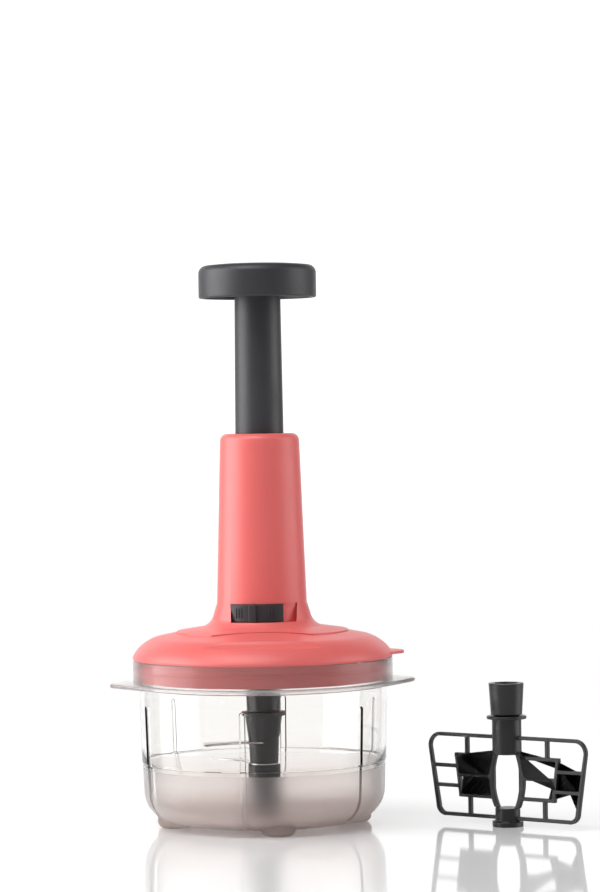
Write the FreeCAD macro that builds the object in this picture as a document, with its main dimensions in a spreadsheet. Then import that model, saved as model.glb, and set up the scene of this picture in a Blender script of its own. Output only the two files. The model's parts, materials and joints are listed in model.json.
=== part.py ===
"""Plunger food chopper with a stand-alone whisk attachment.

Every length is in millimetres and every angle in degrees.  The chopper stands on its feet with +Z up.
Its pieces are drawn about their own axis, and each one is then placed in the shared frame, whose
origin lies on the table under the middle of the set.
"""
import FreeCAD, Part
import math
import os
import Sketcher

Vector = FreeCAD.Vector

SIZES = {
    # where the chopper and the whisk stand
    "stand_offset": 40.72,
    "whisk_distance": 120.3,
    "whisk_forward": 22.5,
    "whisk_turn": 37.5,
    # clearances
    "press_gap": 0.02,
    "running_gap": 0.05,
    "loose_gap": 0.3,
    "overcut": 1.0,
    # bowl
    "bowl_turn": 5.3,
    "bowl_underside": 2.6,
    "bowl_floor": 3.0,
    "bowl_base_lean": 1.1,
    "bowl_corner": 16.0,
    "bowl_lean": 1.1,
    "bowl_wall": 2.0,
    "bowl_base_wall": 2.8,
    "bowl_step_height": 32.5,
    "bowl_step": 0.4,
    "rim_set": 2.7,
    "flange_underside": 70.3,
    "flange_thickness": 2.0,
    "flange_out": 0.9,
    "rim_radius": 65.1,
    "rim_wall": 2.2,
    "rim_tall": 11.7,
    "ear_out": 10.8,
    "ear_round": 8.0,
    "ear_spread": 32.5,
    "foot_set": 1.7,
    "foot_tall": 10.6,
    "foot_radius": 8.6,
    "foot_round": 3.4,
    "feet_turn": 8.2,
    "groove_angle": 15.0,
    "groove_width": 3.0,
    "groove_depth": 0.8,
    "groove_top": 62.0,
    "boss_radius": 7.5,
    "boss_flare": 1.5,
    "boss_height": 3.4,
    "pin_radius": 3.0,
    "pin_depth": 4.9,
    "pin_stand": 13.0,
    # lid
    "skirt_drop": 11.0,
    "skirt_wall": 2.0,
    "lid_roof": 2.5,
    "dome_rise": 12.8,
    "dome_slope": 0.2,
    "dome_edge_rise": 0.8,
    "dome_shoulder_set": 13.5,
    "dome_round": 18.2,
    "dome_edge_lip": 0.6,
    "dome_inner_round": 12.3,
    "lid_hole": 17.0,
    "lid_tab_out": 5.7,
    "lid_tab_width": 26.0,
    "lid_tab_rise": 1.2,
    "lid_tab_nose": 2.0,
    "lid_tab_thickness": 1.4,
    "scoop_radius": 22.0,
    "scoop_set": 3.0,
    "scoop_depth": 0.9,
    "scoop_ring": 99.0,
    "scoop_lean": 20.3,
    "seal_rise": 4.6,
    "seal_tall": 2.8,
    "seal_depth": 1.2,
    "post_set": 7.6,
    "post_radius": 3.6,
    "screw_radius": 1.5,
    "screw_head": 2.8,
    "screw_head_tall": 1.6,
    "plate_screw_bite": 8.0,
    "plate_rise": 5.0,
    "plate_thickness": 2.0,
    # tower
    "foot_plate_radius": 43.0,
    "foot_plate_edge": 1.1,
    "foot_plate_rise": 0.4,
    "foot_plate_front": 35.0,
    "flare_start": 32.53,
    "flare_rise": 3.17,
    "flare_round": 12.32,
    "tower_foot_radius": 22.5,
    "tower_foot_rise": 14.85,
    "tower_top_radius": 19.87,
    "tower_round_drop": 4.0,
    "tower_top_round": 3.8,
    "tower_top_inset": 3.57,
    "tower_roof": 2.5,
    "tower_wall": 2.4,
    "tower_screw_circle": 27.0,
    "tower_screw_bite": 4.5,
    "key_depth": 1.2,
    "key_width": 3.0,
    # plunger
    "stroke": 60.0,
    "tube_radius": 12.1,
    "tube_narrowing": 0.55,
    "tube_lap": 33.2,
    "tube_straight": 33.0,
    "tube_taper": 66.0,
    "tube_tall": 108.0,
    "tube_web": 3.0,
    "tube_wall": 2.8,
    "nut_flange": 3.0,
    "nut_length": 12.0,
    "collar_gap": 0.63,
    "collar_tall": 5.8,
    "cross_pin_radius": 1.0,
    "cross_pin_rise": 3.0,
    "cross_pin_set": 0.8,
    "knob_radius": 29.5,
    "knob_lap": 6.9,
    "knob_side": 12.1,
    "knob_corner": 4.2,
    "knob_crown_inset": 3.5,
    "knob_crown_flat": 4.0,
    "knob_crown": 1.2,
    "knob_wall": 2.5,
    "knob_roof_wall": 3.6,
    "knob_boss_wall": 2.9,
    "knob_post": 4.5,
    "knob_plate_recess": 1.5,
    "knob_plate_thickness": 2.0,
    "knob_screw_bite": 5.0,
    # spiral drive
    "spiral_core": 3.2,
    "spiral_radius": 5.4,
    "spiral_lobes": 3.0,
    "spiral_lead": 25.0,
    "spiral_reach": 18.0,
    "spiral_clearance": 0.25,
    "spigot_radius": 3.0,
    "spigot_tall": 4.0,
    "thrust_radius": 8.0,
    "thrust_rise": 0.8,
    "thrust_thickness": 1.8,
    "journal_radius": 5.0,
    "journal_drop": 12.5,
    "cap_gap": 0.7,
    "cap_thickness": 2.0,
    "cap_boss": 6.2,
    "cap_boss_tall": 3.8,
    "spring_set": 1.7,
    "spring_wire": 0.6,
    "spring_turns": 13.0,
    # bearing and one-way clutch
    "bearing_plate_radius": 31.0,
    "bearing_plate_thickness": 2.1,
    "bearing_hub": 8.9,
    "bearing_bush": 7.0,
    "driver_radius": 11.8,
    "driver_tall": 6.7,
    "roller_count": 6.0,
    "roller_radius": 1.5,
    "roller_circle": 11.6,
    "roller_tall": 6.1,
    "cup_bore": 13.2,
    "cup_radius": 15.5,
    "cup_floor": 2.0,
    "spindle_spigot": 4.0,
    "coupling_radius": 6.0,
    "washer_tall": 1.2,
    "coupling_tall": 16.4,
    "lower_bush_radius": 8.0,
    "lower_bush_drop": 1.8,
    "cup_gap": 0.2,
    "plate_boss": 10.5,
    # blades
    "hub_bottom": 9.6,
    "hub_bush_radius": 4.2,
    "hub_bush_tall": 14.7,
    "core_radius": 5.0,
    "socket_web": 5.5,
    "hub_base_radius": 9.2,
    "stem_radius": 7.7,
    "stem_flare": 4.0,
    "stem_ring": 0.4,
    "body_waist": 0.6,
    "hub_ease": 1.0,
    "blade_thickness": 1.0,
    "lower_blade_height": 13.0,
    "middle_blade_height": 28.4,
    "upper_blade_height": 42.2,
    "blade_gap": 0.8,
    "blade_root_gap": 0.52,
    "blade_tip": 1.0,
    "blade_shoulder": 4.0,
    "blade_root": 12.0,
    "blade_sweep": 9.0,
    "blade_collar": 7.0,
    "upper_blade_rise": 2.1,
    "joint_tilt": 11.4,
    "upper_blade_turn": -139.0,
    "middle_blade_turn": 121.7,
    "lower_blade_turn": -20.0,
    "sleeve_flare_radius": 9.3,
    "sleeve_neck_tall": 17.1,
    "sleeve_flange_radius": 11.0,
    "sleeve_flange_thickness": 2.1,
    "sleeve_neck_radius": 8.4,
    "sleeve_top_radius": 8.7,
    "sleeve_gap": 2.4,
    "socket_radius": 6.4,
    "coupling_end_gap": 0.5,
    # lock
    "window_rise": 5.9,
    "window_tall": 9.3,
    "window_left": -43.7,
    "window_right": 51.0,
    "window_depth": 1.1,
    "lock_proud": 0.7,
    "lock_right": 27.5,
    "lock_travel": 22.0,
    "lock_end_gap": 0.6,
    "lock_ridge_angle": -11.7,
    "lock_ridge_width": 3.4,
    "lock_ridge_height": 1.4,
    "catch_thickness": 1.8,
    "catch_rise": 6.9,
    "catch_clearance": 0.8,
    "catch_inner": 15.0,
    "catch_width": 11.0,
    "slot_ease": 2.0,
    "neck_width": 6.6,
    # whisk
    "whisk_depth": 2.4,
    "whisk_bar": 1.8,
    "whisk_top": 44.9,
    "whisk_top_reach": 47.6,
    "whisk_bottom": 3.2,
    "whisk_bottom_reach": 41.3,
    "whisk_top_corner": 7.0,
    "whisk_bottom_corner": 5.5,
    "bracket_top": 34.2,
    "bracket_bottom": 14.0,
    "bracket_top_reach": 29.8,
    "bracket_bottom_reach": 27.4,
    "upper_post": 23.6,
    "lower_post": 22.0,
    "outer_bar_high": 28.4,
    "outer_bar_low": 18.5,
    "barrel_top": 37.6,
    "barrel_bottom": 9.2,
    "barrel_end": 7.3,
    "barrel_bulge": 10.4,
    "whisk_hub_radius": 7.3,
    "whisk_flange_radius": 9.9,
    "whisk_hub_tall": 15.7,
    "whisk_flange_thickness": 1.5,
    "whisk_foot_radius": 7.7,
    "whisk_foot_tall": 2.6,
    "whisk_neck_radius": 6.2,
    "whisk_neck_set": 1.0,
    "whisk_neck_tall": 0.6,
    "whisk_sleeve_bottom_radius": 7.8,
    "whisk_sleeve_tall": 15.6,
    "whisk_spigot_radius": 4.5,
    "whisk_spigot_tall": 8.0,
    "whisk_socket_depth": 13.0,
}

document = FreeCAD.newDocument("FoodChopper")
sheet = document.addObject("Spreadsheet::Sheet", "Sizes")
PIECES = {}


class Length:
    """A size with its value and the spreadsheet formula that it comes from."""

    def __init__(self, value, formula):
        self.value = value
        self.formula = formula

    def _join(self, other, sign, result, swapped=False):
        mine, theirs = self.formula, as_length(other).formula
        first, second = (theirs, mine) if swapped else (mine, theirs)
        return Length(result, f"({first} {sign} {second})")

    def __add__(self, other):
        return self._join(other, "+", self.value + as_length(other).value)

    __radd__ = __add__

    def __sub__(self, other):
        return self._join(other, "-", self.value - as_length(other).value)

    def __rsub__(self, other):
        return self._join(other, "-", as_length(other).value - self.value, swapped=True)

    def __mul__(self, other):
        return self._join(other, "*", self.value * as_length(other).value)

    __rmul__ = __mul__

    def __truediv__(self, other):
        return self._join(other, "/", self.value / as_length(other).value)

    def __neg__(self):
        return Length(-self.value, f"(-1 * {self.formula})")


def as_length(number):
    """Return a Length for a Length or a plain number."""
    if isinstance(number, Length):
        return number
    return Length(float(number), repr(float(number)))


def cosine(angle):
    return Length(math.cos(math.radians(angle.value)), f"cos({angle.formula})")


def sine(angle):
    return Length(math.sin(math.radians(angle.value)), f"sin({angle.formula})")


def fill_sheet():
    """Write every driving dimension into its own named cell."""
    for row, (name, value) in enumerate(SIZES.items(), start=1):
        sheet.set(f"A{row}", name)
        sheet.set(f"B{row}", str(value))
        sheet.setAlias(f"B{row}", name)
    document.recompute()


class SizeTable:
    """Gives each cell of the sheet as a Length, by its alias, and the sizes stacked on them."""

    def __getattr__(self, name):
        return Length(float(getattr(sheet, name)), f"Sizes.{name}")


size = SizeTable()


def stack_sizes():
    """Work out the radii and levels that follow from the piece beside or beneath them."""
    size.flange_radius = size.rim_radius + size.flange_out
    size.bowl_upper_radius = size.rim_radius - size.rim_set
    size.bowl_lower_radius = size.bowl_upper_radius - size.bowl_lean - size.bowl_step
    size.bowl_bottom_radius = size.bowl_lower_radius - size.bowl_base_lean - size.bowl_corner
    size.ear_reach = size.flange_radius + size.ear_out
    size.foot_circle = size.bowl_bottom_radius + size.foot_set
    size.rim_top = size.flange_underside + size.flange_thickness + size.rim_tall
    # lid
    size.skirt_bottom = size.rim_top - size.skirt_drop
    size.seat_height = size.rim_top + size.dome_rise
    size.dome_edge_height = size.seat_height + size.dome_edge_rise
    size.dome_shoulder = size.rim_radius - size.dome_shoulder_set
    size.lid_tab_reach = size.rim_radius + size.lid_tab_out
    size.lid_tab_height = size.rim_top + size.lid_tab_rise
    size.scoop_forward = size.dome_shoulder + size.scoop_set
    size.seal_height = size.skirt_bottom + size.seal_rise
    size.post_circle = size.dome_shoulder - size.post_set
    size.plate_height = size.skirt_bottom + size.plate_rise
    # lock and tower, which is as tall as the stroke over the lock asks
    size.window_bottom = size.seat_height + size.window_rise
    size.window_top = size.window_bottom + size.window_tall
    size.window_floor = size.tower_foot_radius - size.window_depth
    size.lock_radius = size.tower_foot_radius + size.lock_proud
    size.catch_bottom = size.window_bottom + size.catch_rise
    size.tube_bottom = size.catch_bottom - size.catch_clearance - size.collar_tall + size.stroke
    size.tower_top = size.tube_bottom + size.tube_lap
    size.flare_height = size.seat_height + size.flare_rise
    size.tower_foot_height = size.seat_height + size.tower_foot_rise
    size.tower_round_height = size.tower_top - size.tower_round_drop
    size.tower_top_flat = size.tower_top_radius - size.tower_top_inset
    # plunger and knob
    size.tube_top_radius = size.tube_radius - size.tube_narrowing
    size.tube_bore = size.tube_radius - size.tube_wall
    size.tube_taper_start = size.tube_bottom + size.tube_straight
    size.tube_taper_end = size.tube_taper_start + size.tube_taper
    size.tube_top = size.tube_bottom + size.tube_tall
    size.bush_bottom = size.tube_bottom + size.collar_tall + size.loose_gap * 2
    size.collar_radius = tower_inside_radius(size.tube_bottom + size.collar_tall) - size.collar_gap
    size.key_radius = size.collar_radius - size.key_depth
    size.cross_pin_height = size.tube_bottom + size.cross_pin_rise
    size.knob_bottom = size.tube_top - size.knob_lap
    size.knob_side_top = size.knob_bottom + size.knob_side
    size.knob_crown_radius = size.knob_radius - size.knob_crown_inset
    size.knob_crown_height = size.knob_side_top + size.knob_corner
    size.knob_top = size.knob_crown_height + size.knob_crown
    size.knob_roof = size.knob_top - size.knob_roof_wall
    # spiral drive, clutch and coupling
    size.spiral_top = size.tube_bottom + size.spiral_reach
    size.thrust_bottom = size.seat_height + size.thrust_rise
    size.journal_bottom = size.seat_height - size.journal_drop
    size.bearing_bottom = size.journal_bottom + size.driver_tall + size.loose_gap * 2
    size.cup_bottom = size.journal_bottom - size.cup_floor - size.loose_gap
    size.lower_bush_bottom = size.plate_height - size.lower_bush_drop
    size.lower_bush_tall = size.cup_bottom - size.lower_bush_bottom - size.cup_gap
    size.coupling_top = size.lower_bush_bottom - size.loose_gap * 2 - size.washer_tall
    size.coupling_bottom = size.coupling_top - size.coupling_tall
    size.cap_radius = size.tube_bore - size.cap_gap
    size.spring_mean_radius = size.tube_bore - size.spring_set
    # blade hub
    size.blade_reach = size.bowl_bottom_radius - size.blade_gap
    size.sleeve_top = size.coupling_top - size.sleeve_gap
    size.sleeve_flange_height = size.sleeve_top - size.sleeve_neck_tall
    size.socket_floor = size.coupling_bottom - size.coupling_end_gap
    size.core_top = size.socket_floor - size.socket_web
    # whisk
    size.whisk_flange_height = size.barrel_top + size.whisk_hub_tall
    flange_top = size.whisk_flange_height + size.whisk_flange_thickness
    size.whisk_sleeve_bottom = flange_top + size.whisk_neck_tall
    size.whisk_sleeve_top = size.whisk_sleeve_bottom + size.whisk_sleeve_tall


def bind(item, prop, length):
    """Tie one property of an object to a formula of the sheet."""
    length = as_length(length)
    item.setExpression(prop, length.formula)


def move(item, x=0, y=0, z=0):
    bind(item, "Placement.Base.x", x)
    bind(item, "Placement.Base.y", y)
    bind(item, "Placement.Base.z", z)
    return item


def turn(item, degrees, axis=Vector(0, 0, 1)):
    """Turn an object about an axis through its own base point."""
    item.Placement = FreeCAD.Placement(item.Placement.Base, FreeCAD.Rotation(axis, degrees))
    return item


# --------------------------------------------------------------- sketched solids
def pin_point(sketch, geometry, end, across, up):
    """Fix one end of a sketch edge at a formula-driven place."""
    for kind, axis, length in (("DistanceX", -2, across), ("DistanceY", -1, up)):
        length = as_length(length)
        if abs(length.value) < 1e-9:
            sketch.addConstraint(Sketcher.Constraint("PointOnObject", geometry, end, axis))
            continue
        index = sketch.addConstraint(Sketcher.Constraint(kind, -1, 1, geometry, end, length.value))
        sketch.setExpression(f"Constraints[{index}]", length.formula)


def arc_through(start, end, radius, bulge):
    """Return the arc of a circle between two points; bulge +1 puts its centre left of the chord."""
    chord = end - start
    middle = (start + end) * 0.5
    reach = math.sqrt(max(radius ** 2 - (chord.Length / 2) ** 2, 0.0))
    left = Vector(-chord.y, chord.x, 0).normalize()
    centre = middle + left * reach * bulge
    first, last = (start, end) if bulge > 0 else (end, start)
    angles = [math.atan2(point.y - centre.y, point.x - centre.x) for point in (first, last)]
    circle = Part.Circle(centre, Vector(0, 0, 1), radius)
    return Part.ArcOfCircle(circle, angles[0], angles[1])


def draw_outline(sketch, outline):
    """Draw a closed outline of (across, up) points.

    A third and fourth entry, radius and bulge, make the edge to the next point an arc.
    """
    places = [Vector(as_length(entry[0]).value, as_length(entry[1]).value, 0) for entry in outline]
    count = len(outline)
    ends = []
    for number, entry in enumerate(outline):
        start = places[number]
        end = places[(number + 1) % count]
        if len(entry) > 2:
            radius = as_length(entry[2])
            edge = sketch.addGeometry(arc_through(start, end, radius.value, entry[3]), False)
            index = sketch.addConstraint(Sketcher.Constraint("Radius", edge, radius.value))
            sketch.setExpression(f"Constraints[{index}]", radius.formula)
            ends.append((edge, 1, 2) if entry[3] > 0 else (edge, 2, 1))
        else:
            edge = sketch.addGeometry(Part.LineSegment(start, end), False)
            ends.append((edge, 1, 2))
    for number, entry in enumerate(outline):
        edge, start_end, _ = ends[number]
        before, _, last_end = ends[number - 1]
        pin_point(sketch, edge, start_end, entry[0], entry[1])
        sketch.addConstraint(Sketcher.Constraint("Coincident", before, last_end, edge, start_end))


def sketch_on(body, name, role):
    """Add a sketch on one of the body's own origin planes."""
    plane = next(item for item in body.Origin.OriginFeatures if item.Role == role)
    sketch = body.newObject("Sketcher::SketchObject", name)
    sketch.AttachmentSupport = (plane, [""])
    sketch.MapMode = "FlatFace"
    return sketch


def turned(name, outline):
    """Return a body made by turning an outline of (radius, height) points about Z."""
    body = document.addObject("PartDesign::Body", name)
    sketch = sketch_on(body, name + "_outline", "XZ_Plane")
    draw_outline(sketch, outline)
    feature = body.newObject("PartDesign::Revolution", name + "_turning")
    feature.Profile = sketch
    feature.ReferenceAxis = (sketch, ["V_Axis"])
    feature.Angle = 360.0
    body.Tip = feature
    document.recompute()
    return body


def plate(name, outline, thickness, role="XY_Plane", centred=False):
    """Return a body made by padding a flat outline."""
    body = document.addObject("PartDesign::Body", name)
    sketch = sketch_on(body, name + "_outline", role)
    draw_outline(sketch, outline)
    feature = body.newObject("PartDesign::Pad", name + "_pad")
    feature.Profile = sketch
    feature.Midplane = centred
    bind(feature, "Length", thickness)
    body.Tip = feature
    document.recompute()
    return body


# --------------------------------------------------------------- simple solids
def rod(name, radius, low, high, x=0, y=0):
    item = document.addObject("Part::Cylinder", name)
    bind(item, "Radius", radius)
    bind(item, "Height", as_length(high) - low)
    return move(item, x, y, low)


def block(name, wide, deep, tall, x, y, z):
    """Return a box whose given place is the middle of its underside."""
    item = document.addObject("Part::Box", name)
    bind(item, "Length", wide)
    bind(item, "Width", deep)
    bind(item, "Height", tall)
    return move(item, as_length(x) - as_length(wide) / 2, as_length(y) - as_length(deep) / 2, z)


def hexagon(name, corner_radius, low, high):
    item = document.addObject("Part::Prism", name)
    item.Polygon = 6
    bind(item, "Circumradius", corner_radius)
    bind(item, "Height", as_length(high) - low)
    return move(item, 0, 0, low)


def sector(name, inner, outer, low, high, start, end):
    """Return part of a ring between two angles, both measured from the front (-Y) towards +X."""
    whole = rod(name + "_outer", outer, low, high)
    bind(whole, "Angle", as_length(end) - start)
    turn(whole, as_length(start).value - 90)
    hole = rod(name + "_inner", inner, as_length(low) - 1, as_length(high) + 1)
    return cut(name, whole, [hole])


def fuse(name, items):
    item = document.addObject("Part::MultiFuse", name)
    item.Shapes = items
    return item


def cut(name, base, tools):
    """Return base with every tool taken away."""
    item = document.addObject("Part::Cut", name)
    item.Base = base
    item.Tool = tools[0] if len(tools) == 1 else fuse(name + "_tools", tools)
    return item


def common(name, first, second):
    item = document.addObject("Part::Common", name)
    item.Base = first
    item.Tool = second
    return item


def around(name, count, circle, make, first_angle=0.0):
    """Return copies that make(name, x, y) builds, evenly spaced on a circle."""
    copies = []
    for number in range(int(count)):
        angle = math.radians(first_angle + 360.0 * number / int(count))
        x = as_length(circle) * math.cos(angle)
        y = as_length(circle) * math.sin(angle)
        copies.append(make(f"{name}_{number + 1}", x, y))
    return copies


def group(name, items):
    """Return several separate solids as one compound sub-part."""
    item = document.addObject("Part::Compound", name)
    item.Links = items
    return item


def keep(label, item, x=None, y=0, degrees=0.0):
    """Register a sub-part under its label and stand it in its place."""
    item.Label = label
    PIECES[label] = item
    place_x = -size.stand_offset if x is None else x
    turn(item, degrees)
    move(item, place_x, y, 0)
    return item


def twisted_bar(name, core, tip, low, high):
    """Return a lobed bar twisted about Z with the lead of the spiral drive."""
    lobes = int(size.spiral_lobes.value)
    lobe_half_angle = 0.32
    edges = []
    for number in range(lobes):
        middle = 2 * math.pi * number / lobes
        valley = 2 * math.pi * (number + 0.5) / lobes
        following = 2 * math.pi * (number + 1) / lobes

        def spot(radius, angle):
            return Vector(radius * math.cos(angle), radius * math.sin(angle), low)

        crest_end = spot(tip, middle + lobe_half_angle)
        crest = Part.Arc(spot(tip, middle - lobe_half_angle), spot(tip, middle), crest_end)
        dip = Part.Arc(crest_end, spot(core, valley), spot(tip, following - lobe_half_angle))
        edges += [crest.toShape(), dip.toShape()]
    helix = Part.makeHelix(size.spiral_lead.value, high - low, tip)
    helix.translate(Vector(0, 0, low))
    axis = Part.Wire([Part.makeLine(Vector(0, 0, low), Vector(0, 0, high))])
    # every section is turned by its own height, so the bar and the nut's bore mesh
    phase = 360.0 * low / size.spiral_lead.value
    sweep = Part.BRepOffsetAPI.MakePipeShell(axis)
    sweep.setAuxiliarySpine(Part.Wire(helix.Edges), True, 0)
    sweep.add(Part.Wire(edges))
    sweep.build()
    sweep.makeSolid()
    shape = sweep.shape()
    shape.rotate(Vector(0, 0, 0), Vector(0, 0, 1), phase)
    item = document.addObject("Part::Feature", name)
    item.Shape = shape
    return item


# --------------------------------------------------------------- bowl
def bowl_outside_radius(height):
    """Return the wall's outer radius at a height above the step, where the wall leans evenly."""
    share = (as_length(height) - size.bowl_step_height) / (size.flange_underside - size.bowl_step_height)
    low = size.bowl_lower_radius + size.bowl_step
    return low + (size.bowl_upper_radius - low) * share


def make_bowl():
    """Clear bowl: flanged rim, two lifting ears, frosted base and six upright grooves."""
    flange_top = size.flange_underside + size.flange_thickness
    corner_top = size.bowl_underside + size.bowl_corner
    corner_radius = size.bowl_bottom_radius + size.bowl_corner
    outside = turned("bowl_outside", [
        (0, size.bowl_underside),
        (size.bowl_bottom_radius, size.bowl_underside, size.bowl_corner, 1),
        (corner_radius, corner_top),
        (size.bowl_lower_radius, size.bowl_step_height),
        (size.bowl_lower_radius + size.bowl_step, size.bowl_step_height + size.bowl_step),
        (size.bowl_upper_radius, size.flange_underside),
        (size.flange_radius, size.flange_underside),
        (size.flange_radius, flange_top),
        (size.rim_radius, flange_top),
        (size.rim_radius, size.rim_top),
        (0, size.rim_top),
    ])
    floor = size.bowl_underside + size.bowl_floor
    inner_corner = size.bowl_corner - size.bowl_floor
    base_inner = corner_radius - size.bowl_base_wall
    boss_top = floor + size.boss_height
    hole = size.pin_radius + size.press_gap
    ledge = size.bowl_step_height
    inside = turned("bowl_inside", [
        (0, boss_top - size.pin_depth),
        (hole, boss_top - size.pin_depth),
        (hole, boss_top),
        (size.boss_radius, boss_top),
        (size.boss_radius + size.boss_flare, floor),
        (base_inner - inner_corner, floor, inner_corner, 1),
        (base_inner, floor + inner_corner),
        (size.bowl_lower_radius - size.bowl_base_wall, ledge),
        (size.bowl_lower_radius + size.bowl_step - size.bowl_wall, ledge),
        (size.bowl_upper_radius - size.bowl_wall, flange_top - size.bowl_wall / 2),
        (size.rim_radius - size.rim_wall, flange_top),
        (size.rim_radius - size.rim_wall, size.rim_top + size.overcut),
        (0, size.rim_top + size.overcut),
    ])
    solids = [outside] + make_bowl_ears()
    shell = cut("bowl_shell", fuse("bowl_solid", solids), [inside] + make_bowl_grooves())
    keep("bowl", shell, degrees=size.bowl_turn.value)


def make_bowl_ears():
    """Two thin wings of the flange, opposite each other, that taper to a rounded tip."""
    centre = size.ear_reach - size.ear_round
    near_x = size.flange_radius * cosine(size.ear_spread)
    near_y = size.flange_radius * sine(size.ear_spread)
    tip_x = centre + size.ear_round * cosine(size.ear_spread)
    tip_y = size.ear_round * sine(size.ear_spread)
    ears = []
    for side in (1, -1):
        ear = plate(f"bowl_ear_{len(ears) + 1}", [
            (0, -near_y),
            (near_x * side, -near_y),
            (tip_x * side, -tip_y, size.ear_round, side),
            (tip_x * side, tip_y),
            (near_x * side, near_y),
            (0, near_y),
        ], size.flange_thickness)
        ears.append(move(ear, 0, 0, size.flange_underside))
    return ears


def make_bowl_feet():
    """Four clear round feet bonded under the bowl's bottom corner, whose curve their tops follow."""
    underside = size.bowl_underside - size.press_gap
    corner = size.bowl_corner + size.press_gap
    bottom = turned("foot_seat", [
        (0, underside),
        (size.bowl_bottom_radius, underside, corner, 1),
        (size.bowl_bottom_radius + corner, underside + corner),
        (0, underside + corner),
    ])

    def foot(name, x, y):
        pad = turned(name, [
            (0, 0),
            (size.foot_radius - size.foot_round, 0, size.foot_round, 1),
            (size.foot_radius, size.foot_round),
            (size.foot_radius, size.foot_tall),
            (0, size.foot_tall),
        ])
        return cut(f"{name}_pad", move(pad, x, y, 0), [bottom])

    feet = around("bowl_foot", 4, size.foot_circle, foot)
    keep("bowl_feet", group("bowl_feet_set", feet), degrees=size.feet_turn.value)


def make_bowl_grooves():
    """Six shallow upright grooves with rounded tops, which run down round the bottom corner."""
    depth_radius = bowl_outside_radius(size.groove_top) - size.groove_depth
    corner_top = size.bowl_underside + size.bowl_corner
    corner_radius = size.bowl_bottom_radius + size.bowl_corner - size.groove_depth
    skin = turned("groove_skin", [
        (size.bowl_bottom_radius, size.bowl_underside + size.groove_depth,
         size.bowl_corner - size.groove_depth, 1),
        (corner_radius, corner_top),
        (size.bowl_lower_radius - size.groove_depth, size.bowl_step_height),
        (depth_radius, size.groove_top),
        (size.flange_radius, size.groove_top),
        (size.flange_radius, size.bowl_underside + size.groove_depth),
    ])
    straight_top = size.groove_top - size.groove_width / 2
    fins = []
    for number in range(6):
        angle = size.groove_angle.value + 60.0 * number
        fin = block(f"groove_fin_{number + 1}", size.flange_radius, size.groove_width, straight_top,
                    size.flange_radius / 2, 0, 0)
        top = rod(f"groove_top_{number + 1}", size.groove_width / 2, 0, size.flange_radius)
        turn(top, 90, Vector(0, 1, 0))
        move(top, 0, 0, straight_top)
        fins.append(turn(fuse(f"groove_shape_{number + 1}", [fin, top]), angle))
    return [common("bowl_grooves", skin, fuse("groove_fins", fins))]


def make_pivot_pin():
    """Steel pin moulded into the middle of the floor, on which the blade hub turns."""
    boss_top = size.bowl_underside + size.bowl_floor + size.boss_height
    tip = boss_top + size.pin_stand
    nose = size.pin_radius / 3
    keep("pivot_pin", turned("pin_turning", [
        (0, boss_top - size.pin_depth),
        (size.pin_radius, boss_top - size.pin_depth),
        (size.pin_radius, tip - nose),
        (size.pin_radius - nose, tip),
        (0, tip),
    ]))


# --------------------------------------------------------------- lid
def foot_outline(extra):
    """Outline of the tower's foot: a circle cut straight across at the front."""
    radius = size.foot_plate_radius + extra
    tall = size.dome_rise
    disc = rod(f"foot_disc_{extra.value}", radius, size.seat_height, size.seat_height + tall)
    front = block(f"foot_front_{extra.value}", radius * 2, radius, tall * 2, 0,
                  -(size.foot_plate_front + extra) - radius / 2, size.seat_height - tall / 2)
    return cut(f"foot_shape_{extra.value}", disc, [front])


def make_lid_dome():
    """Coral lid: domed cover with a skirt that drops inside the bowl's rim."""
    underside = size.seat_height - size.lid_roof
    skirt_outer = size.rim_radius - size.rim_wall - size.loose_gap * 2
    skirt_inner = skirt_outer - size.skirt_wall
    rest = size.rim_top + size.running_gap
    edge = size.foot_plate_radius
    rise = (edge - size.lid_hole) * size.dome_slope
    shoulder_height = size.dome_edge_height - (size.dome_shoulder - edge) * size.dome_slope
    seal_top = size.seal_height + size.seal_tall
    shell = turned("dome_turning", [
        (size.lid_hole, underside),
        (size.lid_hole, size.dome_edge_height + rise),
        (size.dome_shoulder, shoulder_height, size.dome_round, -1),
        (size.rim_radius, rest + size.dome_edge_lip),
        (size.rim_radius, rest),
        (skirt_outer, rest),
        (skirt_outer, seal_top),
        (skirt_outer - size.seal_depth, seal_top),
        (skirt_outer - size.seal_depth, size.seal_height),
        (skirt_outer, size.seal_height),
        (skirt_outer, size.skirt_bottom),
        (skirt_inner, size.skirt_bottom),
        (skirt_inner, underside - size.dome_inner_round, size.dome_inner_round, 1),
        (skirt_inner - size.dome_inner_round, underside),
    ])
    plate_top = size.plate_height + size.plate_thickness

    def post(name, x, y):
        return rod(name, size.post_radius, plate_top, underside + size.lid_roof / 2, x, y)

    def pilot(name, x, y):
        top = plate_top + size.plate_screw_bite + size.overcut
        return rod(name, size.screw_radius + size.press_gap, plate_top - size.overcut, top, x, y)

    def passage(name, x, y):
        return rod(name, size.screw_radius + size.press_gap, underside - size.overcut,
                   size.seat_height + size.overcut, x, y)

    posts = around("lid_post", 4, size.post_circle, post, 45)
    pilots = around("lid_pilot", 4, size.post_circle, pilot, 45)
    passages = around("lid_passage", 4, size.tower_screw_circle, passage, 45)
    seat = foot_outline(size.running_gap)
    solid = fuse("dome_solid", [shell, make_lid_tab()] + posts)
    keep("lid_dome", cut("dome_cut", solid, [seat, make_lid_scoop()] + pilots + passages))


def make_lid_tab():
    """Thin finger tab on the right of the lid's edge."""
    half = size.lid_tab_width / 2
    root = size.rim_radius - size.rim_wall
    nose = half / 2
    tab = plate("lid_tab", [
        (root, -half),
        (size.lid_tab_reach - size.lid_tab_nose, -nose),
        (size.lid_tab_reach, -nose / 2),
        (size.lid_tab_reach, nose / 2),
        (size.lid_tab_reach - size.lid_tab_nose, nose),
        (root, half),
    ], size.lid_tab_thickness)
    return move(tab, 0, 0, size.lid_tab_height)


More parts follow.
